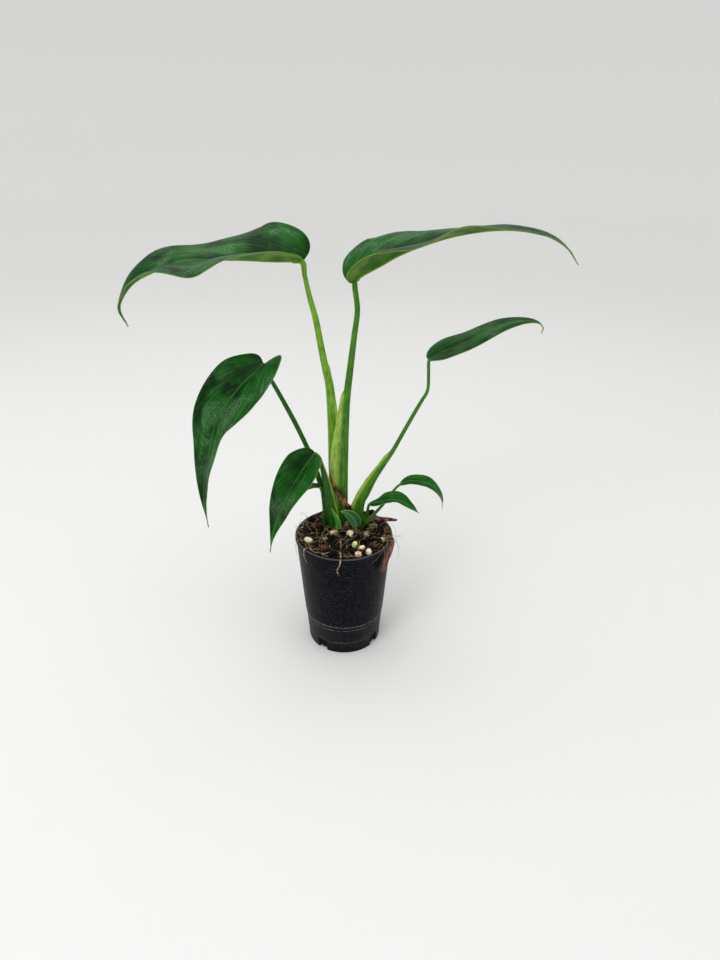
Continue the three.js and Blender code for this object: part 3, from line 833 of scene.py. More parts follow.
def section_frame(tangents: Array, wide: Sequence[float]) -> tuple[Array, Array]:
    """Gives the two directions across a line, the first one close to a wanted direction.

    Args:
        tangents: The line's directions, one a row.
        wide: The wanted direction.

    Returns:
        The directions of the width and of the depth, one a row each.
    """
    wish = np.array(wide, float)
    across = unit(wish - (tangents @ wish)[:, None] * tangents)
    return across, np.cross(tangents, across)


LIFT_STATIONS = np.array([0, 0.15, 0.3, 0.45, 0.6, 0.75, 0.9])


@dataclass
class Blade:
    """A leaf blade: a sheet folded along its midrib, waved, and drawn out to a drip tip.

    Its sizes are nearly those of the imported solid. The lobes are shares of the length by which each half
    reaches back, and the lifts are degrees at the lift stations, for the two halves.
    """

    name: str
    rib: Sequence[Point]
    side: Point
    half_width: Span
    lobe: Span
    widest: float
    drip: float
    lifts: tuple[Sequence[float], Sequence[float]]
    age: LeafAge = LeafAge.GROWN
    rows: int = 150
    columns: int = 56
    thickness: float = 0.5
    tip_half_width: float = 0.22
    calm_below: float = 3.0
    base_share: float = 0.36
    rib_spread: float = 1.25
    arch: float = 0.05
    rib_depth: float = 0.9
    rib_half_width: float = 1.3
    rib_taper: float = 0.8
    quilting: float = 0.22
    quilt_roundness: float = 0.7
    ripple: float = 0.35
    ripple_run: float = 6.5
    grown_half_width: float = 33.0
    margin_crowding: float = 1.5
    probe: float = 0.01

    def edge(self, half: Array, u: Array) -> tuple[Array, Array]:
        """Gives the margin's place along the midrib and its distance from it.

        Args:
            half: 0 or 1 for the two halves of the blade.
            u: Shares of the way from the petiole to the tip.

        Returns:
            Fractions of the length and of the half width.
        """
        near = np.clip(u / self.base_share, 0, 1)
        turn = near * math.pi / 2
        lobe = np.where(half == 0, self.lobe[0], self.lobe[1])
        back = lobe * np.sin(2 * turn) * (1 - near)
        rest = np.clip((u - self.base_share) / (1 - self.base_share), 0, 1)
        base_along = self.widest * (1 - np.cos(turn)) - back
        tip_along = self.widest + (1 - self.widest) * rest
        tip_across = (1 - rest) ** self.drip * (1 + self.drip * rest)
        at_base = u < self.base_share
        return np.where(at_base, base_along, tip_along), np.where(at_base, np.sin(turn), tip_across)

    def lift(self, half: Array, u: Array) -> Array:
        """Gives how far each half rises above the blade's flat.

        Args:
            half: 0 or 1 for the two halves.
            u: Shares of the way from the petiole to the tip.

        Returns:
            Angles in radians.
        """
        share = np.clip(u / LIFT_STATIONS[-1], 0, 1)
        first, second = (Path([(lift, 0, 0) for lift in lifts]).at(share)[:, 0] for lifts in self.lifts)
        return np.radians(np.where(half == 0, first, second))

    def surface(self, half: Array, u: Array, v: Array) -> tuple[Array, Array, Array]:
        """Gives the middle of the blade's thickness.

        Args:
            half: 0 or 1 for the two halves.
            u: Shares of the way from the petiole to the tip.
            v: Shares of the way from the midrib to the margin.

        Returns:
            The points, the distances along the midrib and the distances across it, in millimetres.
        """
        path = Path(self.rib)
        edge_along, edge_across = self.edge(half, u)
        along = path.length * (u**self.rib_spread * (1 - v) + edge_along * v)
        width = np.maximum(np.where(half == 0, *self.half_width) * edge_across, self.tip_half_width)
        share = path.share_of(np.maximum(along, 0))
        spine = path.at(share) + np.minimum(along, 0)[:, None] * path.tangent(np.zeros(1))
        middle = np.clip(along / path.length, self.probe, 1 - self.probe) * path.length
        behind = path.at(path.share_of(middle - self.probe * path.length))
        ahead = path.at(path.share_of(middle + self.probe * path.length))
        tangent = unit(ahead - behind)
        across, _ = section_frame(tangent, self.side)
        up = np.cross(across, tangent)
        lift = self.lift(half, u) * smooth(self.tip_half_width, self.calm_below, width)
        arch = self.arch * width * 4 * v * (1 - v)
        sign = np.where(half == 0, -1.0, 1.0)
        out = sign * (np.cos(lift) * width * v - np.sin(lift) * arch)
        rise = np.sin(lift) * width * v + np.cos(lift) * arch
        rise = rise + self.relief(along, width * v, v)
        return spine + across * out[:, None] + up * rise[:, None], along, sign * width * v

    def relief(self, along: Array, across: Array, v: Array) -> Array:
        """Gives the low quilting between the side veins and the slight ripple of the margin.

        Args:
            along: Distances along the midrib.
            across: Distances from the midrib.
            v: Shares of the way to the margin.

        Returns:
            Heights in millimetres.
        """
        skin = UPPER_SKINS[self.age]
        run = along - across * skin.vein_lean - across**2 * skin.vein_bend
        pillow = np.abs(np.sin(math.pi * run / skin.vein_spacing)) ** self.quilt_roundness
        fade = smooth(0.05, 0.35, v) * (1 - smooth(0.8, 1.0, v))
        wave = np.sin(along / self.ripple_run + self.half_width[0]) * smooth(0.6, 1.0, v)
        size = max(self.half_width) / self.grown_half_width
        return self.quilting * size * pillow * fade + self.ripple * size * wave * smooth(4, 20, across)

    def build(self) -> bpy.types.Object:
        """Makes the blade and hands it over.

        Returns:
            The finished piece.
        """
        piece = add_sheet("leaf_" + self.name, self.rows, self.columns)
        flat = places(piece)
        u = (flat[:, 0] + 1) / 2
        half = np.where(flat[:, 1] < 0, 0, 1)
        v = np.abs(flat[:, 1]) ** self.margin_crowding
        points, along, across = self.surface(half, u, v)
        _, edge_across = self.edge(half, u)
        inset = np.where(half == 0, *self.half_width) * edge_across * (1 - v)
        put(piece, points)
        count = len(flat)
        # Solidify gives its second skin the second material only where the piece already has both.
        for skin in (UPPER_SKINS[self.age], LOWER_SKINS[self.age]):
            piece.data.materials.append(material_of(skin))
        wall = {"thickness": self.thickness * MM, "offset": 0.0}
        slots = {"material_offset": 1, "material_offset_rim": 0}
        apply_modifier(piece, "SOLIDIFY", **wall, **slots)
        both = places(piece) / MM
        facing = self.upper_is_first(both, count)
        first, second = slice(0, count), slice(count, 2 * count)
        upper, under = (first, second) if facing else (second, first)
        down = unit(both[under] - both[upper])
        rib = self.rib_depth * (1 - u) ** self.rib_taper * smooth(0, 0.02, u)
        ridge = np.exp(-((across / self.rib_half_width) ** 2)) * rib
        both[under] += down * ridge[:, None]
        put(piece, both)
        coordinates = np.stack([along, across, inset], 1)
        store(piece, "blade", np.vstack([coordinates, coordinates]))
        if not facing:
            self.swap_skins(piece)
        shade(piece, 50)
        return hand_over(piece, ["blade_" + self.name], [])

    def upper_is_first(self, both: Array, count: int) -> bool:
        """Tells whether the first skin that Solidify leaves is the upper one.

        Args:
            both: The corners of the first skin and then of the second.
            count: How many corners a skin has.

        Returns:
            True where it is.
        """
        path = Path(self.rib)
        middle = path.tangent(np.array([0.4]))
        across, _ = section_frame(middle, self.side)
        up = np.cross(across, middle)[0]
        return float(np.mean((both[:count] - both[count : 2 * count]) @ up)) > 0

    @staticmethod
    def swap_skins(piece: bpy.types.Object) -> None:
        """Exchanges the two material slots of all faces."""
        for face in piece.data.polygons:
            face.material_index = 1 - face.material_index


@dataclass
class Stalk:
    """A tapering stalk through stations of x, y, z, half width and half depth.

    A wing pulls one side of it out to a thin margin, as on a petiole's sheath. Lengths are in mm, and
    the ring count is for each stretch between two stations.
    """

    name: str
    stations: Sequence[Station]
    wing: Sequence[Station] = ()
    wing_side: int = -1
    wing_sharpness: float = 5.0
    wing_below: float = 12.0
    pale_edge: float = 0.0
    pale_side: int = 1
    wide: Point = (1.0, 0.0, 0.0)
    sides: int = 28
    rings_per_station: int = 9
    round_end: float = 0.0
    roughness: float = 0.0
    rough_cell: float = 4.0
    seed: float = 1.0

    def build(self) -> bpy.types.Object:
        """Makes the stalk.

        Returns:
            The new piece.
        """
        rings = self.rings_per_station * (len(self.stations) - 1)
        piece = add_tube(self.name, self.sides, rings)
        tube = places(piece)
        share = tube[:, 2]
        turn = np.arctan2(tube[:, 1], tube[:, 0])
        path = Path(self.stations)
        rows = path.at(share)
        across, deep = section_frame(path.tangent(share), self.wide)
        ends = np.ones_like(share)
        if self.round_end:
            near = np.clip((1 - share) * path.length / self.round_end, 0, 1)
            ends = np.sqrt(np.clip(1 - (1 - near) ** 2, 0.02, 1))
        out = across * (np.cos(turn) * rows[:, 3] * ends)[:, None]
        out = out + deep * (np.sin(turn) * rows[:, 4] * ends)[:, None]
        points = rows[:, :3] + out
        pale = np.zeros_like(share)
        if self.wing:
            points, pale = self.pull_wing(points, rows, across, turn)
        if self.pale_edge:
            facing = np.cos(turn) * self.pale_side
            pale = np.maximum(pale, self.pale_edge * smooth(0.72, 0.96, facing))
        if self.roughness:
            lumps = rough_field(points, self.rough_cell, self.seed)
            points = points + unit(out) * (lumps * self.roughness)[:, None]
        put(piece, points)
        store(piece, "stalk", np.stack([pale, path.length * share, turn], 1))
        shade(piece, 60)
        return piece

    def pull_wing(self, points: Array, rows: Array, across: Array, turn: Array) -> tuple[Array, Array]:
        """Pulls one side of the stalk out to the sheath's free margin.

        Args:
            points: The stalk's corners.
            rows: The stations at those corners.
            across: The directions of the width.
            turn: The turns around the stalk.

        Returns:
            The moved corners and how pale each of them is.
        """
        wing = np.array(self.wing, float)
        height = rows[:, 2]
        margin_x = np.interp(height, wing[:, 2], wing[:, 0] + self.wing_side * wing[:, 3])
        margin_y = np.interp(height, wing[:, 2], wing[:, 1])
        inside = (height > wing[0, 2] - self.wing_below) & (height < wing[-1, 2])
        edge = rows[:, :3] + across * (self.wing_side * rows[:, 3])[:, None]
        margin = np.stack([margin_x, margin_y, height], 1)
        reach = ((margin - edge) @ np.array([self.wing_side, 0.0, 0.0])) * inside
        reach = np.maximum(reach, 0)
        facing = np.clip(np.cos(turn) * self.wing_side, 0, 1)
        weight = facing**self.wing_sharpness * np.clip(reach / 0.4, 0, 1)
        pulled = points + (margin - edge) * weight[:, None]
        pale = smooth(0.55, 0.93, facing) * smooth(0.2, 1.6, reach)
        return pulled, pale


@dataclass
class Petiole:
    """A leaf's stalk, from the mix to the underside of its blade, with the wing of its sheath."""

    leaf: Blade
    stations: Sequence[Station]
    tone: StalkTone
    sheath: Sequence[Station] = ()
    sheath_side: int = -1
    pale_edge: float = 0.0
    seat_run: float = 5.0
    seat_drop: float = 0.7
    knee: float = 0.95
    knee_flatness: float = 0.95
    end_width: float = 0.37
    end_depth: float = 0.35

    def build(self) -> bpy.types.Object:
        """Makes the petiole and hands it over.

        Returns:
            The finished piece.
        """
        rib = Path(self.leaf.rib)
        start = rib.at(np.array([0.0]))[0]
        tangent = rib.tangent(np.array([0.0]))
        across, _ = section_frame(tangent, self.leaf.side)
        up = np.cross(across, tangent)[0]
        half_width, half_depth = self.stations[-1][3:]
        drop = self.leaf.rib_depth * self.seat_drop + half_depth * max(self.knee - 1, 0)
        under = start - up * drop
        beyond = start + tangent[0] * self.seat_run - up * self.leaf.rib_depth
        stations = [
            *self.stations,
            (*under, half_width * self.knee, half_depth * self.knee * self.knee_flatness),
            (*beyond, half_width * self.knee * self.end_width, half_depth * self.end_depth),
        ]
        name = "stalk_" + self.leaf.name
        pale = self.pale_edge
        stalk = Stalk(name, stations, self.sheath, self.sheath_side, pale_edge=pale, round_end=2.0)
        return hand_over(stalk.build(), ["petiole_" + self.leaf.name], [STALK_SKINS[self.tone]])


@dataclass
class NurseryPot:
    """A thin tapered pot with a lip, a ledge ring, two fine rings and notches in its foot."""

    height: float = 109.0
    top_radius: float = 42.2
    foot_radius: float = 33.4
    wall: float = 1.2
    floor: float = 2.0
    lip_height: float = 3.5
    lip_out: float = 0.7
    ledge_height: float = 31.0
    ledge_step: float = 0.8
    ledge_round: float = 0.1
    upper_ring: float = 27.0
    lower_ring: float = 12.0
    ring_edge: float = 0.2
    waist_height: float = 60.0
    bevel: float = 0.4
    foot_bevel: float = 1.2
    notch_width: float = 9.0
    notch_height: float = 12.0
    notch_depth: float = 4.8
    notch_round: float = 1.6
    notch_turns: tuple[float, ...] = (-125, -35, 55, 145)
    segments: int = 128

    def wall_radius(self, height: float) -> float:
        """Gives the outer wall's radius at a height."""
        return self.foot_radius + (self.top_radius - self.foot_radius) * height / self.height

    def inner_radius(self, height: float) -> float:
        """Gives the inner wall's radius at a height."""
        return self.wall_radius(height) - self.wall - self.ledge_step * 0.5

    def ring(self, height: float, below: float, above: float) -> list[Span]:
        """Gives the profile's two points at a fine ring.

        Args:
            height: The ring's height.
            below: How far the wall under it is set in, as a share of the ledge's step.
            above: How far the wall over it is set in.

        Returns:
            Radius and height of each point.
        """
        low, high = height - self.ring_edge, height + self.ring_edge
        return [
            (self.wall_radius(low) - self.ledge_step * below, low),
            (self.wall_radius(high) - self.ledge_step * above, high),
        ]

    def profile(self) -> list[Span]:
        """Follows the pot's skin from under the foot, over the lip, to the floor inside.

        Returns:
            Radius and height of each ring.
        """
        lip_foot = self.height - self.lip_height
        lip_radius = self.top_radius + self.lip_out
        ledge = self.wall_radius(self.ledge_height)
        return [
            (self.foot_radius - self.foot_bevel - self.bevel, 0),
            (self.foot_radius - self.bevel * 1.5, self.foot_bevel * 0.35),
            (self.foot_radius - self.bevel, self.foot_bevel),
            *self.ring(self.lower_ring, 1.0, 0.7),
            *self.ring(self.upper_ring, 0.7, 0.5),
            (ledge - self.ledge_step * 0.5, self.ledge_height - self.ring_edge),
            (ledge - self.ledge_round, self.ledge_height + self.ledge_round * 3),
            (ledge, self.ledge_height + self.ledge_step),
            (self.wall_radius(self.waist_height), self.waist_height),
            (self.wall_radius(lip_foot), lip_foot),
            (self.wall_radius(lip_foot) + self.lip_out * 0.8, lip_foot + self.bevel),
            (lip_radius - 0.05, lip_foot + self.bevel * 2),
            (lip_radius, self.height - self.bevel),
            (lip_radius - self.bevel * 0.3, self.height - self.bevel * 0.3),
            (lip_radius - self.bevel, self.height),
            (self.inner_radius(self.height) + self.bevel, self.height),
            (self.inner_radius(self.height), self.height - self.bevel),
            (self.inner_radius(self.waist_height), self.waist_height),
            (self.inner_radius(self.floor), self.floor),
        ]

    def build(self) -> bpy.types.Object:
        """Makes the pot and hands it over.

        Returns:
            The finished piece.
        """
        deselect()
        profile = self.profile()
        foot = profile[0][0] * MM
        bpy.ops.mesh.primitive_circle_add(vertices=self.segments, radius=foot, location=(0, 0, 0))
        piece = bpy.context.object
        piece.name = "nursery_pot"
        bpy.ops.object.mode_set(mode="EDIT")
        bpy.ops.mesh.select_all(action="SELECT")
        bpy.ops.mesh.edge_face_add()
        bpy.ops.mesh.select_all(action="SELECT")
        bpy.ops.mesh.select_mode(type="EDGE")
        extrude_rings(profile, MM)
        bpy.ops.mesh.edge_face_add()
        bpy.ops.mesh.select_all(action="SELECT")
        bpy.ops.mesh.normals_make_consistent(inside=False)
        bpy.ops.object.mode_set(mode="OBJECT")
        self.cut_notches(piece)
        shade(piece, 32)
        return hand_over(piece, ["pot"], [PotPlastic()])

    def cut_notches(self, piece: bpy.types.Object) -> None:
        """Cuts the round-cornered notches out of the pot's foot.

        Args:
            piece: The pot.
        """
        for turn in self.notch_turns:
            deselect()
            bpy.ops.mesh.primitive_cube_add(size=1)
            cutter = bpy.context.object
            corners = places(cutter) * [2 * self.notch_depth, self.notch_width, 2 * self.notch_height]
            put(cutter, corners)
            apply_modifier(cutter, "BEVEL", width=self.notch_round * MM, segments=4, limit_method="NONE")
            corners = places(cutter) / MM
            corners[:, 0] += self.foot_radius
            turned = Matrix.Rotation(math.radians(turn), 3, "Z")
            put(cutter, corners @ np.array(turned).T)
            apply_modifier(piece, "BOOLEAN", object=cutter, operation="DIFFERENCE", solver="EXACT")
            bpy.data.objects.remove(cutter)


class PackedRandom:
    """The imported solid's own repeatable random numbers, so that the lumps of the mix agree."""

    FACTOR = 1664525
    STEP = 1013904223
    RANGE = 4294967296

    def __init__(self, seed: int) -> None:
        """Starts the row of numbers."""
        self.state = seed

    def between(self, low: float, high: float) -> float:
        """Gives the next number between low and high."""
        self.state = (self.state * self.FACTOR + self.STEP) % self.RANGE
        return low + (high - low) * self.state / self.RANGE


@dataclass
class PottingMix:
    """The chunky mix: a lumpy bed with bark bits, crumbs and fibres on it."""

    pot: NurseryPot
    edge_height: float = 108.0
    crown_height: float = 112.5
    lump_count: int = 54
    lump_radius: Span = (4.0, 7.5)
    lump_height: Span = (0.8, 2.8)
    lump_margin: float = 2.0
    rim_calm: float = 0.5
    crumble: float = 1.1
    crumble_cell: float = 5.0
    crumble_sink: float = 0.6
    tone_middle: float = 0.16
    tone_swing: float = 0.3
    tone_cell: float = 6.0
    seed: int = 11
    gap: float = 0.3
    cells: int = 120

    def __post_init__(self) -> None:
        """Draws the lumps."""
        draw = PackedRandom(self.seed).between
        self.lumps = []
        for _ in range(self.lump_count):
            reach = math.sqrt(draw(0, 1)) * (self.pot.top_radius - self.lump_margin)
            turn = draw(0, math.pi * 2)
            radius, height = draw(*self.lump_radius), draw(*self.lump_height)
            self.lumps.append((reach * math.cos(turn), reach * math.sin(turn), radius, height))

    def height(self, x: Array, y: Array) -> Array:
        """Gives the height of the mix at places on it.

        Args:
            x: The places' x.
            y: The places' y.

        Returns:
            One height a place.
        """
        out = np.minimum(np.hypot(x, y) / self.pot.inner_radius(self.edge_height), 1)
        mound = self.crown_height + (self.edge_height - self.crown_height) * out**2
        bumps = np.zeros_like(mound)
        for lump_x, lump_y, radius, height in self.lumps:
            away = np.hypot(x - lump_x, y - lump_y) / radius
            bumps = np.maximum(bumps, height * np.maximum(1 - away**2, 0))
        return mound + bumps * (1 - self.rim_calm * out**8)

    def level(self, x: float, y: float) -> float:
        """Gives the height of the mix at one place."""
        return float(self.height(np.array([x]), np.array([y]))[0])

    def build_bed(self) -> bpy.types.Object:
        """Makes the bed that fills the pot.

        Returns:
            The finished piece.
        """
        piece = add_sheet("mix_bed", self.cells, self.cells)
        flat = places(piece)
        reach = np.max(np.abs(flat[:, :2]), axis=1)
        length = np.maximum(np.hypot(flat[:, 0], flat[:, 1]), 1e-9)
        top_radius = self.pot.inner_radius(self.edge_height) - self.gap
        x = flat[:, 0] / length * reach * top_radius
        y = flat[:, 1] / length * reach * top_radius
        z = self.height(x, y)
        place = np.stack([x, y, z], 1)
        calm = 1 - smooth(0.9, 1.0, reach)
        crumbs = rough_field(place, self.crumble_cell, 3.0, 4) * self.crumble
        z = z + (crumbs - self.crumble_sink) * calm
        put(piece, np.stack([x, y, z], 1))
        bpy.ops.object.mode_set(mode="EDIT")
        bpy.ops.mesh.select_mode(type="EDGE")
        bpy.ops.mesh.select_all(action="DESELECT")
        bpy.ops.mesh.select_non_manifold()
        foot = self.pot.floor + self.gap
        drop = (foot - self.edge_height) * MM
        bpy.ops.mesh.extrude_edges_move(TRANSFORM_OT_translate={"value": (0, 0, drop)})
        scale = (self.pot.inner_radius(foot) - self.gap) / top_radius
        bpy.ops.transform.resize(value=(scale, scale, 0), center_override=(0, 0, foot * MM))
        bpy.ops.mesh.edge_face_add()
        bpy.ops.mesh.select_all(action="SELECT")
        bpy.ops.mesh.normals_make_consistent(inside=False)
        bpy.ops.object.mode_set(mode="OBJECT")
        corners = places(piece) / MM
        swing = self.tone_swing * rough_field(corners, self.tone_cell, 9.0, 2)
        store(piece, "tone", np.clip(self.tone_middle + swing, 0, 0.5))
        shade(piece, 60)
        return hand_over(piece, ["soil"], [MIX])


Chunk = tuple[Array, list[tuple[int, ...]]]
# How far out the sides of a chunk of radius 1 are cut flat.
CHUNK_CUTS = (0.6, 0.9)


@dataclass
class Scatter:
    """Many copies of a few small shapes, laid on the mix in one piece.

    Size, flatness, length and tones are the ranges that each copy draws from. Copies keep clear of the
    circles that are given as x, y and radius.
    """

    mix: PottingMix
    name: str
    shapes: Sequence[Chunk]
    count: int
    size: Span
    flatness: Span
    length: Span
    tones: Span
    keep_clear: Sequence[Point]
    seed: int
    sink: float = 0.35
    inner_share: float = 0.0
    rim_limit: float = 1.2
    tilt: float = 0.4

    def build(self) -> bpy.types.Object:
        """Lays the copies and hands the piece over.

        Returns:
            The finished piece.
        """
        draw = random.Random(self.seed)
        points, faces, tones = [], [], []
        start = 0
        limit = self.mix.pot.inner_radius(self.mix.edge_height)
        while len(tones) < self.count:
            size = draw.uniform(*self.size)
            reach = math.sqrt(draw.uniform(self.inner_share, 1)) * (limit - size * self.rim_limit)
            turn = draw.uniform(0, 2 * math.pi)
            x, y = reach * math.cos(turn), reach * math.sin(turn)
            spin = Matrix.Rotation(draw.uniform(0, 2 * math.pi), 3, "Z")
            roll, pitch = (Matrix.Rotation(draw.gauss(0, self.tilt), 3, axis) for axis in "XY")
            form = (draw.uniform(*self.length), 1.0, draw.uniform(*self.flatness))
            corners, polygons = self.shapes[draw.randrange(len(self.shapes))]
            tone = draw.uniform(*self.tones)
            if any(math.hypot(x - a, y - b) < radius for a, b, radius in self.keep_clear):
                continue
            turned = (corners * form * size) @ np.array(spin @ (roll @ pitch)).T
            lift = size * form[2] * (1 - 2 * self.sink)
            points.append(turned + [x, y, self.mix.level(x, y) + lift])
            faces += [tuple(start + k for k in polygon) for polygon in polygons]
            tones.append(np.full(len(corners), tone))
            start += len(corners)
        piece = loose_piece(self.name, np.vstack(points), faces, np.concatenate(tones), 35)
        return hand_over(piece, [], [MIX])


def chunk_shapes(count: int, subdivisions: int, unevenness: float, seed: int) -> list[Chunk]:
    """Models a few rough chunks of radius 1.

    Args:
        count: How many different ones are made.
        subdivisions: How finely the ball that each starts from is divided.
        unevenness: How far its corners move in and out.
        seed: Start of the random draws.

    Returns:
        The corners and the faces of each.
    """
    draw = random.Random(seed)
    shapes = []
    for _ in range(count):
        deselect()
        bpy.ops.mesh.primitive_ico_sphere_add(subdivisions=subdivisions, radius=1)
        ball = bpy.context.object
        corners = places(ball)
        corners *= np.array([[1 + draw.uniform(-unevenness, unevenness)] for _ in corners])
        corners = np.clip(corners, -draw.uniform(*CHUNK_CUTS), draw.uniform(*CHUNK_CUTS))
        shapes.append((corners, [tuple(face.vertices) for face in ball.data.polygons]))
        bpy.data.objects.remove(ball)
    return shapes


@dataclass
class Fibres:
    """Thin curved roots and fibres that lie on the mix or arch over the rim, in one piece.

    Length, half width, hop, tones, rise and droop are the ranges that each one draws from. Those over the
    rim leave at the two sides, with a turn of the given mean and spread, and keep between the rim limits.
    """

    name: str
    mix: PottingMix
    skin: Crumbly
    count: int
    length: Span
    half_width: Span
    seed: int
    sides: int = 5
    steps: int = 12
    lift: float = 0.9
    hop: Span = (0.2, 2.2)
    curl: float = 0.07
    wander: float = 0.16
    tones: Span = (0.1, 1.0)
    tip_taper: float = 0.6
    over_rim: Span = (0.0, 0.0)
    side_turn: Span = (-0.15, 0.45)
    rise: Span = (3.0, 8.0)
    droop: Span = (2.0, 16.0)
    bend: float = 0.25
    sweep: float = 1.7
    clearance: float = 1.2
    start_inside: float = 5.0
    rim_limits: Span = (-44.0, 43.0)

    def line_on_mix(self, draw: random.Random, limit: float) -> list[Point]:
        """Draws a wandering line over the mix.

        Args:
            draw: The random numbers.
            limit: The radius that it stays within.

        Returns:
            Its points.
        """
        reach = math.sqrt(draw.random()) * limit
        turn = draw.uniform(0, 2 * math.pi)
        x, y = reach * math.cos(turn), reach * math.sin(turn)
        heading = draw.uniform(0, 2 * math.pi)
        curl = draw.gauss(0, self.curl)
        step = draw.uniform(*self.length) / self.steps
        hop = draw.uniform(*self.hop)
        line = []
        for k in range(self.steps + 1):
            if math.hypot(x, y) > limit:
                x, y = (c * limit / math.hypot(x, y) for c in (x, y))
            above = self.lift + hop * math.sin(math.pi * k / self.steps)
            line.append((x, y, self.mix.level(x, y) + above))
            heading += curl + draw.gauss(0, self.wander)
            x += step * math.cos(heading)
            y += step * math.sin(heading)
        return line

    def line_over_rim(self, draw: random.Random, limit: float) -> list[Point]:
        """Draws a line that springs from the mix, arches over the rim at one side and droops.

        Args:
            draw: The random numbers.
            limit: The radius of the mix.

        Returns:
            Its points.
        """
        turn = draw.choice((0, math.pi)) + draw.gauss(*self.side_turn)
        reach = limit + draw.uniform(*self.over_rim)
        rise, droop = draw.uniform(*self.rise), draw.uniform(*self.droop)
        bend = draw.gauss(0, self.bend)
        line = []
        for share in np.linspace(0, 1, self.steps + 1):
            inside = limit - self.start_inside
            out = inside + (reach - inside) * math.sin(share * self.sweep)
            angle = turn + bend * share**2
            x, y = out * math.cos(angle), out * math.sin(angle)
            rim = self.mix.pot.height + self.clearance
            z = rim + rise * math.sin(math.pi * share) - droop * share**3
            line.append((x, float(np.clip(y, *self.rim_limits)), z))
        return line

    def build(self) -> bpy.types.Object:
        """Lays the fibres and hands the piece over.

        Returns:
            The finished piece.
        """
        draw = random.Random(self.seed)
        limit = self.mix.pot.inner_radius(self.mix.edge_height) - 1.0
        draw_line = self.line_over_rim if any(self.over_rim) else self.line_on_mix
        points, faces, tones = [], [], []
        for _ in range(self.count):
            line = draw_line(draw, limit)
            half_width = draw.uniform(*self.half_width)
            tone = draw.uniform(*self.tones)
            self.add_tube_along(line, half_width, points, faces)
            tones += [tone] * (len(line) * self.sides)
        piece = loose_piece(self.name, np.array(points), faces, np.array(tones), 180)
        return hand_over(piece, [], [self.skin])

    def add_tube_along(self, line: list[Point], half_width: float, points: list, faces: list) -> None:
        """Adds one closed tube along a line.

        Args:
            line: The points of the line.
            half_width: The tube's radius at its middle.
            points: The corners so far, to which it adds its own.
            faces: The faces so far, to which it adds its own.
        """
        path = Path(line)
        shares = np.linspace(0, 1, len(line))
        rows = path.at(shares)
        across, deep = section_frame(path.tangent(shares), (0.0, 0.0, 1.0))
        start = len(points)
        for k, centre in enumerate(rows):
            taper = half_width * (1 - self.tip_taper * abs(2 * shares[k] - 1) ** 3)
            for side in range(self.sides):
                angle = 2 * math.pi * side / self.sides
                out = across[k] * math.cos(angle) * taper
                points.append(centre + out + deep[k] * math.sin(angle) * taper)
        for k in range(len(line) - 1):
            for side in range(self.sides):
                a = start + k * self.sides + side
                b = start + k * self.sides + (side + 1) % self.sides
                faces.append((a, b, b + self.sides, a + self.sides))
        last = start + (len(line) - 1) * self.sides
        faces.append(tuple(range(start + self.sides - 1, start - 1, -1)))
        faces.append(tuple(range(last, last + self.sides)))


@dataclass
class MineralGrain:
    """A porous mineral grain, sunk a little into the mix."""

    name: str
    x: float
    y: float
    half_sizes: Point
    turn: float
    tint: GrainTint
    seed: float
    sink: float = 0.35
    lump_cell: float = 2.2
    lump_height: float = 0.16
    pit_cell: float = 0.5
    pit_depth: float = 0.05
    squareness: float = 0.72
    body: float = 0.86
    reach: float = 1.15

    def build(self, mix: PottingMix) -> bpy.types.Object:
        """Makes the grain on the mix and hands it over.

        Args:
            mix: The mix that it lies on.

        Returns:
            The finished piece.
        """
        deselect()
        bpy.ops.mesh.primitive_ico_sphere_add(subdivisions=5, radius=1)
        piece = bpy.context.object
        piece.name = self.name.replace("grain", "pumice")
        ball = places(piece)
        lumps = rough_field(ball * 2, self.lump_cell, self.seed, 2)
        pits = rough_field(ball * 2, self.pit_cell, self.seed + 5, 3)
        flat_sides = np.maximum(np.max(np.abs(ball), axis=1), self.squareness)
        radius = self.body / flat_sides + self.lump_height * lumps + self.pit_depth * pits
        shaped = ball * np.minimum(radius, self.reach)[:, None] * self.half_sizes
        turned = shaped @ np.array(Matrix.Rotation(math.radians(self.turn), 3, "Z")).T
        lift = self.half_sizes[2] * (1 - 2 * self.sink)
        put(piece, turned + [self.x, self.y, mix.level(self.x, self.y) + lift])
        shade(piece, 60)
        return hand_over(piece, [self.name], [GRAIN_SKINS[self.tint]])


@dataclass(frozen=True)
class SoftLight:
    """A square soft light: where it hangs and its side, in metres, and its power in watts."""

    name: str
    place: Point
    side: float
    power: float

    def hang(self, aim: Point) -> None:
        """Adds the light.

        Args:
            aim: The place that it points at, in metres.
        """
        deselect()
        bpy.ops.object.light_add(type="AREA", location=self.place)
        lamp = bpy.context.object
        lamp.name = self.name
        lamp.data.size = self.side
        lamp.data.energy = self.power
        way = Vector(aim) - Vector(self.place)
        lamp.rotation_euler = way.to_track_quat("-Z", "Y").to_euler()


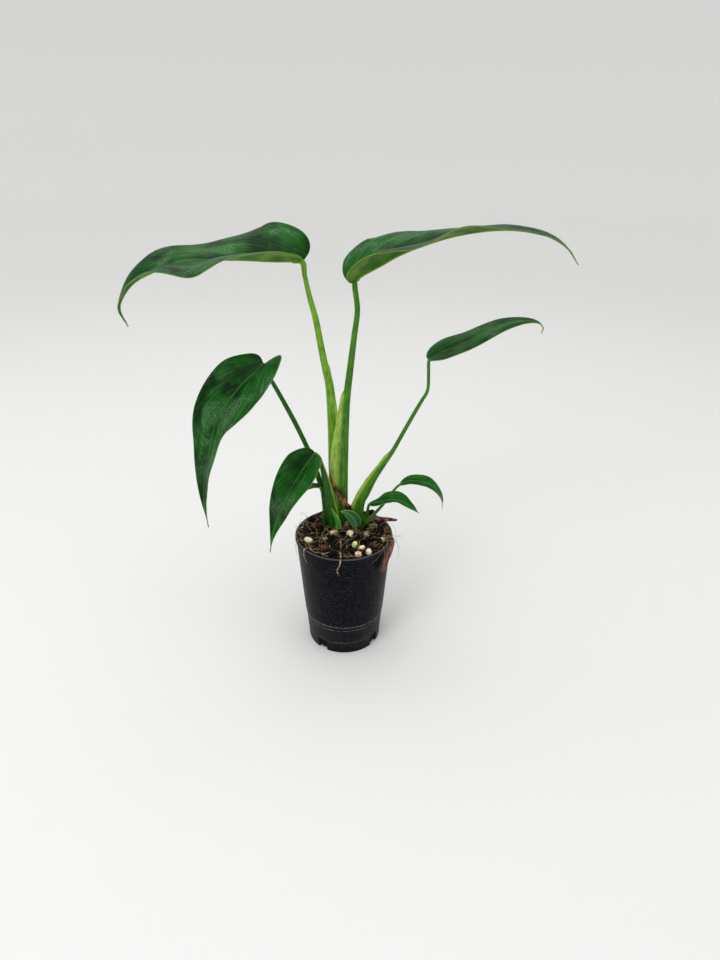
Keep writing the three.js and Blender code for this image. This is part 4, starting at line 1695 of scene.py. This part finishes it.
@dataclass
class Studio:
    """The pale round cove, the soft lights and the camera, which stands where the photograph's did.

    The camera's place is in mm, the lens and the sensor in mm of film, and the cove in metres.
    """

    camera_place: Point = (13.9, -498.0, 426.0)
    pitch: float = 27.93
    roll: float = 0.41
    lens: float = 24.975
    sensor: float = 36.0
    cove: tuple[Span, ...] = (
        (1.5, 0.0), (1.85, 0.02), (2.2, 0.12), (2.45, 0.35), (2.6, 0.7), (2.65, 1.3), (2.65, 2.4)
    )
    cove_sides: int = 96
    paint_grain: float = 4.0
    lights: tuple[SoftLight, ...] = (
        SoftLight("overhead", (-0.25, -0.1, 2.1), 2.0, 18.0),
        SoftLight("key", (-0.9, -1.3, 1.5), 0.8, 11.0),
    )
    light_aim: Point = (0.0, 0.0, 0.2)
    cove_tone: str = "dfdfde"
    sky_tone: str = "f8f8f8"
    sky_strength: float = 0.96

    def build(self) -> None:
        """Makes the cove, the lights and the camera."""
        self.build_cove()
        for light in self.lights:
            light.hang(self.light_aim)
        world = bpy.data.worlds.new("soft room light")
        world.use_nodes = True
        background = world.node_tree.nodes["Background"]
        background.inputs[0].default_value = colour(self.sky_tone)
        background.inputs[1].default_value = self.sky_strength
        bpy.context.scene.world = world
        bpy.context.scene.view_settings.view_transform = "Standard"
        self.add_camera()

    def build_cove(self) -> None:
        """Makes the floor, which curves up into a wall far around the plant."""
        deselect()
        floor_radius = self.cove[0][0]
        bpy.ops.mesh.primitive_circle_add(vertices=self.cove_sides, radius=floor_radius, fill_type="NGON")
        cove = bpy.context.object
        cove.name = "cove"
        bpy.ops.object.mode_set(mode="EDIT")
        bpy.ops.mesh.select_all(action="DESELECT")
        bpy.ops.mesh.select_non_manifold()
        extrude_rings(self.cove, 1.0)
        bpy.ops.object.mode_set(mode="OBJECT")
        shade(cove, 60)
        recipe = Recipe("matt painted cove")
        place = recipe.add("TexCoord", {}, "Object")
        # Rolled paint, with the low grain of an orange peel.
        grain_scale = 1 / (self.paint_grain * MM)
        grain = recipe.add("TexNoise", {"Vector": place, "Scale": grain_scale, "Detail": 2.0})
        looks = {"Base Color": colour(self.cove_tone), "Roughness": 0.9, "Specular IOR Level": 0.1}
        cove.data.materials.append(recipe.finish(looks, grain, 0.05))

    def add_camera(self) -> None:
        """Adds the camera and makes it the scene's own."""
        data = bpy.data.cameras.new("camera")
        data.lens = self.lens
        data.sensor_width = self.sensor
        data.sensor_fit = "AUTO"
        camera = bpy.data.objects.new("camera", data)
        bpy.context.collection.objects.link(camera)
        pitch = Matrix.Rotation(math.radians(90 - self.pitch), 4, "X")
        roll = Matrix.Rotation(math.radians(self.roll), 4, "Z")
        camera.matrix_world = Matrix.Translation(Vector(self.camera_place) * MM) @ pitch @ roll
        bpy.context.scene.camera = camera


LEAVES = (
    Petiole(
        Blade(
            "high_right",
            ((8.5, 6, 324), (14, 6, 329), (27, 6, 336), (42, 7, 344), (60, 7, 351), (81, 8, 357),
             (106, 9, 360.7), (128, 9, 360.7), (148, 10, 357), (163, 10, 349), (173.8, 11, 337)),
            (0, -1, 0), (33, 33), (0.06, 0.03), 0.16, 1.2,
            ((22, 36, 34, 15, 1, 4, 14), (20, 28, 27, 9, 18, 5, 3)),
        ),
        ((-1, 12, 104, 4.6, 3.6), (-1, 12, 136, 4.4, 3.4), (0, 10, 176, 3.8, 3.1), (2, 9, 217, 2.9, 2.6),
         (3, 8, 235, 3, 2.6), (6, 7, 261, 2.6, 2.3), (8.7, 6, 284, 2.3, 2.1), (11, 6, 304, 2.1, 1.9)),
        StalkTone.MID,
        ((-2, 11, 106, 5, 2.4), (-4.5, 9, 142, 4.8, 2.2), (-7, 7, 168, 5.2, 1.8), (-5.5, 6, 192, 4.5, 1.5),
         (-3, 6, 212, 3, 1.2), (-2, 6, 227, 1.6, 0.9), (-1, 6, 237, 0.5, 0.5)),
    ),
    Petiole(
        Blade(
            "high_left",
            ((-30, 14, 338), (-52, 12, 338), (-76, 11, 339), (-99, 9, 339), (-119, 7, 338), (-138, 6, 331),
             (-154, 5, 323), (-164, 4, 312), (-166.9, 3, 303), (-162.5, 2, 291)),
            (0, 1, 0), (36, 35.7), (0, 0.1), 0.2, 1.2,
            ((30, 23, 19, 10, -13, 8, 0), (34, 55, 43, 20, 14, 35, 28)),
        ),
        ((-6, 17, 104, 4.6, 3), (-9, 16, 154, 4.2, 2.8), (-9.5, 15, 201, 3.9, 2.6), (-11, 15, 237, 3.5, 2.5),
         (-14, 14, 254, 3, 2.3), (-17, 14, 270, 2.7, 2.2), (-21, 14, 294, 2.4, 2.1), (-25, 14, 310, 2.1, 1.9),
         (-28.5, 14, 327, 1.8, 1.7)),
        StalkTone.LIME,
        ((-5, 14, 190, 1, 1), (-6.5, 14, 215, 2, 1.2), (-8.8, 14, 237, 1.4, 1), (-11.5, 14, 258, 0.5, 0.5)),
        sheath_side=1,
        seat_run=8.0,
        knee=1.2,
    ),
    Petiole(
        Blade(
            "mid_right",
            ((66.5, 2, 267), (77.5, 0, 274), (93, -3, 282), (107, -5, 290), (121, -8, 297), (133, -9, 300),
             (143, -11, 300), (148, -11, 296), (147, -12, 292)),
            (0, -1, 0), (17, 17), (0.05, 0), 0.2, 1.2,
            ((13, 20, 15, 9, 10, 12, 11), (6, 7, -1, -3, -5, -3, 1)),
        ),
        ((11, 10, 104, 4.6, 3.2), (13.5, 9, 133, 4.6, 3), (18.5, 8, 146, 4.4, 2.8), (25.5, 7, 161, 3.5, 2.6),
         (32.5, 6, 173, 2.8, 2.3), (41, 5, 187, 1.9, 1.9), (48.5, 4, 203, 1.7, 1.7), (56, 3, 219, 1.6, 1.6),
         (62.5, 3, 232, 1.5, 1.5), (67, 2, 242, 1.3, 1.3), (67, 2, 256, 1.3, 1.3)),
        StalkTone.MID,
        ((6, 8, 106, 4, 2.2), (8, 7, 130, 3.4, 2), (14.5, 6, 147, 3, 1.8), (21.5, 5, 161, 2.3, 1.4),
         (29.5, 4, 174, 1.4, 1), (35, 3.5, 184, 0.5, 0.5)),
    ),
    Petiole(
        Blade(
            "hanging_left",
            ((-61, -4, 264), (-80, -15, 248), (-97, -18, 226), (-105, -19, 200), (-113, -15, 174),
             (-117, -12, 147), (-117, -8, 119)),
            (-1, 0, 0.15), (24, 24), (0.17, 0.05), 0.15, 2,
            ((60, 52, 35, 52, 66, 58, 18), (-5, -16, -6, -17, -16, -13, 9)),
        ),
        ((-12, 8, 104, 2.8, 2.6), (-15, 8, 135, 2.7, 2.5), (-21, 8, 157, 2.4, 2.3), (-26, 8, 176, 2.2, 2.1),
         (-31, 7, 190, 2, 2), (-39, 6, 210, 2, 1.9), (-47, 5, 228, 1.9, 1.8), (-55, 4, 245, 1.7, 1.7),
         (-60, 3, 255, 1.6, 1.6)),
        StalkTone.DEEP,
    ),
    Petiole(
        Blade(
            "hanging_low",
            ((-23, -5, 189), (-32, -17, 181), (-41, -22, 167), (-49, -24, 152), (-55, -23, 136),
             (-60, -22, 119), (-63, -21, 102)),
            (-1, 0, 0), (17, 17), (0, 0.05), 0.2, 2,
            ((16, 23, 34, 52, 56, 39, 12), (3, 12, 15, 5, 13, 9, 9)),
        ),
        ((-8, 3, 104, 4.8, 3), (-9.3, 3, 124, 4.8, 2.8), (-11.5, 3, 137, 4.4, 2.6), (-13.6, 2, 152, 3.8, 2.4),
         (-16, 1, 165, 2.9, 2.1), (-18, 0, 175, 2, 1.8), (-20, -1, 183, 1.6, 1.6)),
        StalkTone.DEEP,
        pale_edge=0.9,
    ),
    Petiole(
        Blade(
            "small_right_upper",
            ((48, 4, 156), (56, 2, 160), (65, 1, 160), (74, 0, 158), (80, -1, 152), (84, -1, 144),
             (85, -2, 135)),
            (0, -1, 0), (8, 8), (0, 0), 0.45, 1.2,
            ((21, 22, 25, 15, 17, 22, 26), (-2, 6, 6, -3, -1, -1, -6)),
            LeafAge.YOUNG, 80, 32, 0.45, rib_depth=0.5, rib_half_width=0.9,
        ),
        ((15, 4.5, 104, 1.8, 1.6), (18, 4.5, 116, 1.7, 1.5), (25, 4.5, 124, 1.5, 1.4), (34, 4, 136, 1.3, 1.3),
         (43, 4, 150, 1.1, 1.1)),
        StalkTone.MID,
    ),
    Petiole(
        Blade(
            "small_right_lower",
            ((22, -4, 141), (29, -6, 144), (36, -8, 147), (44, -10, 148), (51, -11, 146), (58, -12, 142),
             (64, -14, 138)),
            (0, -1, 0), (10, 8), (0, 0), 0.45, 1.2,
            ((8, -6, 15, 26, 29, 22, 21), (-3, -1, 10, 19, 9, 1, -6)),
            LeafAge.YOUNG, 80, 32, 0.45, rib_depth=0.5, rib_half_width=0.9,
        ),
        ((14, 0, 104, 1.6, 1.4), (16, 0, 118, 1.5, 1.3), (20, -2, 131, 1.2, 1.1)),
        StalkTone.DEEP,
    ),
    Petiole(
        Blade(
            "small_left",
            ((-19, 2, 154), (-25, 1, 156), (-30, 0, 154), (-35, -2, 151)),
            (0, 1, 0), (5, 4), (0, 0), 0.4, 1.2,
            ((12, 11, 4, 0, 2, 7, 6), (10, 7, 0, 8, 8, 14, 12)),
            LeafAge.YOUNG, 60, 24, 0.45, rib_depth=0.4, rib_half_width=0.7,
        ),
        ((-17, 4, 104, 1.3, 1.2), (-17.5, 3, 131, 1.2, 1.1), (-18.5, 2, 146, 1, 1)),
        StalkTone.DEEP,
    ),
    Petiole(
        Blade(
            "small_front",
            ((11, -2, 116), (10.5, -3, 121), (9, -4, 126), (5.5, -5, 131), (1.5, -6, 134), (-3, -7, 135)),
            (1, 0, 1), (6, 6), (0, 0), 0.45, 1.2,
            ((-12, -17, -17, -17, -20, -15, -12), (20, 24, 24, 20, 18, 14, 12)),
            LeafAge.TENDER, 60, 24, 0.45, rib_depth=0.4, rib_half_width=0.7,
        ),
        ((10.5, -3, 103, 1.4, 1.4), (11, -2, 109, 1.3, 1.3)),
        StalkTone.MID,
        seat_run=2.0,
    ),
)

GRAINS = (
    MineralGrain("grain_1", -35.5, 5, (2.6, 2.6, 2.2), 20, GrainTint.MINT, 1),
    MineralGrain("grain_2", -30, -16, (4, 2.2, 2.2), -35, GrainTint.CREAM, 2),
    MineralGrain("grain_3", -8.5, -6, (3.9, 2, 2), 15, GrainTint.PEACH, 3),
    MineralGrain("grain_4", 6, -8, (3.4, 3, 2.8), -50, GrainTint.CREAM, 4),
    MineralGrain("grain_5", 10, -22.5, (2.8, 2.3, 2.6), 70, GrainTint.ALGAE, 5),
    MineralGrain("grain_6", 16, -26.5, (2.6, 1.9, 1.9), 30, GrainTint.CREAM, 6),
    MineralGrain("grain_7", 13, -34, (3, 2.2, 2.2), -10, GrainTint.PEACH, 7),
    MineralGrain("grain_8", 22, -30.5, (2.5, 2.4, 2.6), 60, GrainTint.CREAM, 8),
    MineralGrain("grain_9", 34, -11, (2.2, 2, 2), 40, GrainTint.CREAM, 9),
    MineralGrain("grain_10", 26, 6, (4, 2.6, 2.2), 10, GrainTint.OLIVE, 10),
    MineralGrain("grain_11", 20, -10, (2.6, 2.4, 2.2), -20, GrainTint.GREY, 11),
    MineralGrain("grain_12", -16, -15, (2.6, 1.6, 1.6), 25, GrainTint.GREY, 12),
)


@dataclass
class Formed:
    """A piece with the form of a stalk: bark, a dry root, a shoot, a dried sheath, a stub or the crown."""

    node: str
    slot: str
    skin: Finish
    form: Stalk

    def build(self) -> None:
        """Makes the piece and hands it over."""
        hand_over(self.form.build(), [self.node], [self.skin])


BARK_STATIONS = (
    ("bark_strip", BARK, (0.43, 0.58, -0.69),
     ((34, -8, 110, 2.4, 1.4), (41, -12, 112, 2.8, 1.4), (41.5, -17, 106, 3.8, 1.3),
      (32.6, -30.6, 89, 4.3, 1.1))),
    ("bark_chip_rim", RUST_BARK, (1, 0, 0.5),
     ((36.2, 11, 109, 1.6, 1.4), (37, 4, 112, 2.4, 1.8), (36, -3, 111, 1.6, 1.4))),
    ("bark_stick", BARK, (0, 1, 0),
     ((19, 20, 110, 1.8, 1.5), (26, 19, 112, 2.8, 1.8), (40, 18, 112.2, 2.2, 1.6), (48, 17.5, 112, 1, 0.9))),
    ("bark_chip_left", RUST_BARK, (0, 1, 0),
     ((-33, 8, 109, 2, 1.4), (-26, 7, 112, 3.4, 2.2), (-20, 9, 112, 1.8, 1.4))),
    ("bark_chip_front", RUST_BARK, (0, 1, 0),
     ((-22, -26, 108.5, 2, 1.5), (-16, -25, 110, 3.6, 2.4), (-9, -26, 110, 2, 1.4))),
    ("bark_chip_right", RUST_BARK, (0.4, 1, 0),
     ((22, -19, 109.5, 1.6, 1.2), (27, -22, 111, 3, 1.8), (31.5, -21, 109.5, 1.4, 1.2))),
)
CRAGGY = {"sides": 40, "rings_per_station": 26, "round_end": 1.6, "roughness": 0.55, "rough_cell": 3.0}
BARK_PIECES = tuple(
    Formed(node, "bark", skin, Stalk("rough_" + node, stations, wide=wide, seed=seed, **CRAGGY))
    for seed, (node, skin, wide, stations) in enumerate(BARK_STATIONS, start=1)
)

ROOT_STATIONS = (
    ("root_front",
     ((-3, -27, 108, 0.7, 0.6), (-2, -36, 111.6, 0.7, 0.6), (-1.6, -42.5, 111.2, 0.65, 0.6),
      (-2.4, -44.8, 106, 0.6, 0.5), (-4.6, -44.6, 100, 0.5, 0.45), (-2.6, -44.2, 94, 0.3, 0.3))),
    ("root_left",
     ((-26, -22, 108, 0.6, 0.5), (-31, -28, 111.3, 0.6, 0.5), (-33, -30, 110, 0.5, 0.45),
      (-32.6, -30.6, 104, 0.4, 0.4), (-30, -32.4, 98, 0.25, 0.25))),
)
KNOTTY = {"sides": 12, "round_end": 0.8, "roughness": 0.12, "rough_cell": 1.6}
ROOTS = tuple(
    Formed(node, "root", ROOT_SKIN, Stalk("dry_" + node, stations, seed=seed, **KNOTTY))
    for seed, (node, stations) in enumerate(ROOT_STATIONS)
)

FOOT_PIECES = (
    Formed("new_shoot", "shoot", SHOOT_SKIN, Stalk(
        "pale_new_shoot",
        ((-4, -2, 104, 2.8, 1.8), (-5, -2.5, 121, 2.4, 1.4), (-8, -3, 130, 1.5, 1),
         (-11, -2.5, 136, 0.5, 0.5)),
        round_end=1.0, pale_edge=0.8,
    )),
    Formed("dried_sheath", "dried_sheath", PAPERY, Stalk(
        "papery_dried_sheath",
        ((6, 6, 106, 3, 1), (5.5, 5, 127, 2.8, 0.9), (1, 4, 137, 2.6, 0.9), (-4, 4, 146, 2.2, 0.9),
         (-9.5, 5, 155, 1.6, 0.8), (-12, 5.5, 165, 0.6, 0.6)),
        sides=36, rings_per_station=14, round_end=1.0, roughness=0.5, rough_cell=3.5, seed=7,
    )),
    Formed("old_stub", "bark", STUB_BARK, Stalk(
        "cut_old_stub",
        ((1, 3, 105, 3.2, 2.6), (2, 2, 114, 3, 2.5), (3, 1, 120, 1.6, 1.4)),
        sides=36, rings_per_station=16, round_end=1.5, roughness=0.4, rough_cell=2.5, seed=8,
    )),
    Formed("crown", "crown", STALK_SKINS[StalkTone.DEEP], Stalk(
        "stem_crown",
        ((-1, 12, 92, 3.3, 3.3), (-1, 12, 106, 5.5, 5.5), (-1, 12, 120, 3.85, 3.85)),
        round_end=3.0, roughness=0.3, seed=9,
    )),
)


def build_mix(pot: NurseryPot) -> None:
    """Makes the potting mix with all that lies loose in it.

    Args:
        pot: The pot that it fills.
    """
    mix = PottingMix(pot)
    mix.build_bed()
    grains = [(grain.x, grain.y, max(grain.half_sizes) + 0.5) for grain in GRAINS]
    stems = [(*petiole.stations[0][:2], petiole.stations[0][3] + 2.0) for petiole in LEAVES]
    chips = chunk_shapes(8, 2, 0.22, 21)
    crumbs = chunk_shapes(6, 1, 0.2, 22)
    rows = (
        ("mix_bark_bits", chips, 190, (1.2, 3.0), (0.35, 0.8), (1.0, 2.2), (0.0, 0.7), stems + grains, 31),
        ("mix_crumbs", crumbs, 900, (0.4, 1.1), (0.5, 0.9), (1.0, 1.8), (0.0, 0.9), grains, 32, 0.1),
        ("mix_rim_bits", chips, 46, (1.4, 3.0), (0.3, 0.6), (1.3, 2.4), (0.0, 0.5), grains, 33, -0.35, 0.68),
    )
    for row in rows:
        Scatter(mix, *row).build()
    for fibres in (
        Fibres("mix_fibres", mix, FIBRE, 150, (6, 22), (0.1, 0.22), 41),
        Fibres("mix_fine_roots", mix, ROOT_SKIN, 30, (12, 30), (0.16, 0.3), 42),
        Fibres("mix_rim_hairs", mix, FIBRE, 16, (8, 20), (0.1, 0.17), 43, steps=20, over_rim=(3.0, 13.0)),
    ):
        fibres.build()
    for grain in GRAINS:
        grain.build(mix)


def main() -> None:
    """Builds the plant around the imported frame."""
    logging.basicConfig(level=logging.INFO, format="%(message)s")
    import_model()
    Studio().build()
    pot = NurseryPot()
    pot.build()
    build_mix(pot)
    for piece in (*BARK_PIECES, *ROOTS, *FOOT_PIECES):
        piece.build()
    for petiole in LEAVES:
        petiole.leaf.build()
        petiole.build()


if __name__ == "__main__":
    main()
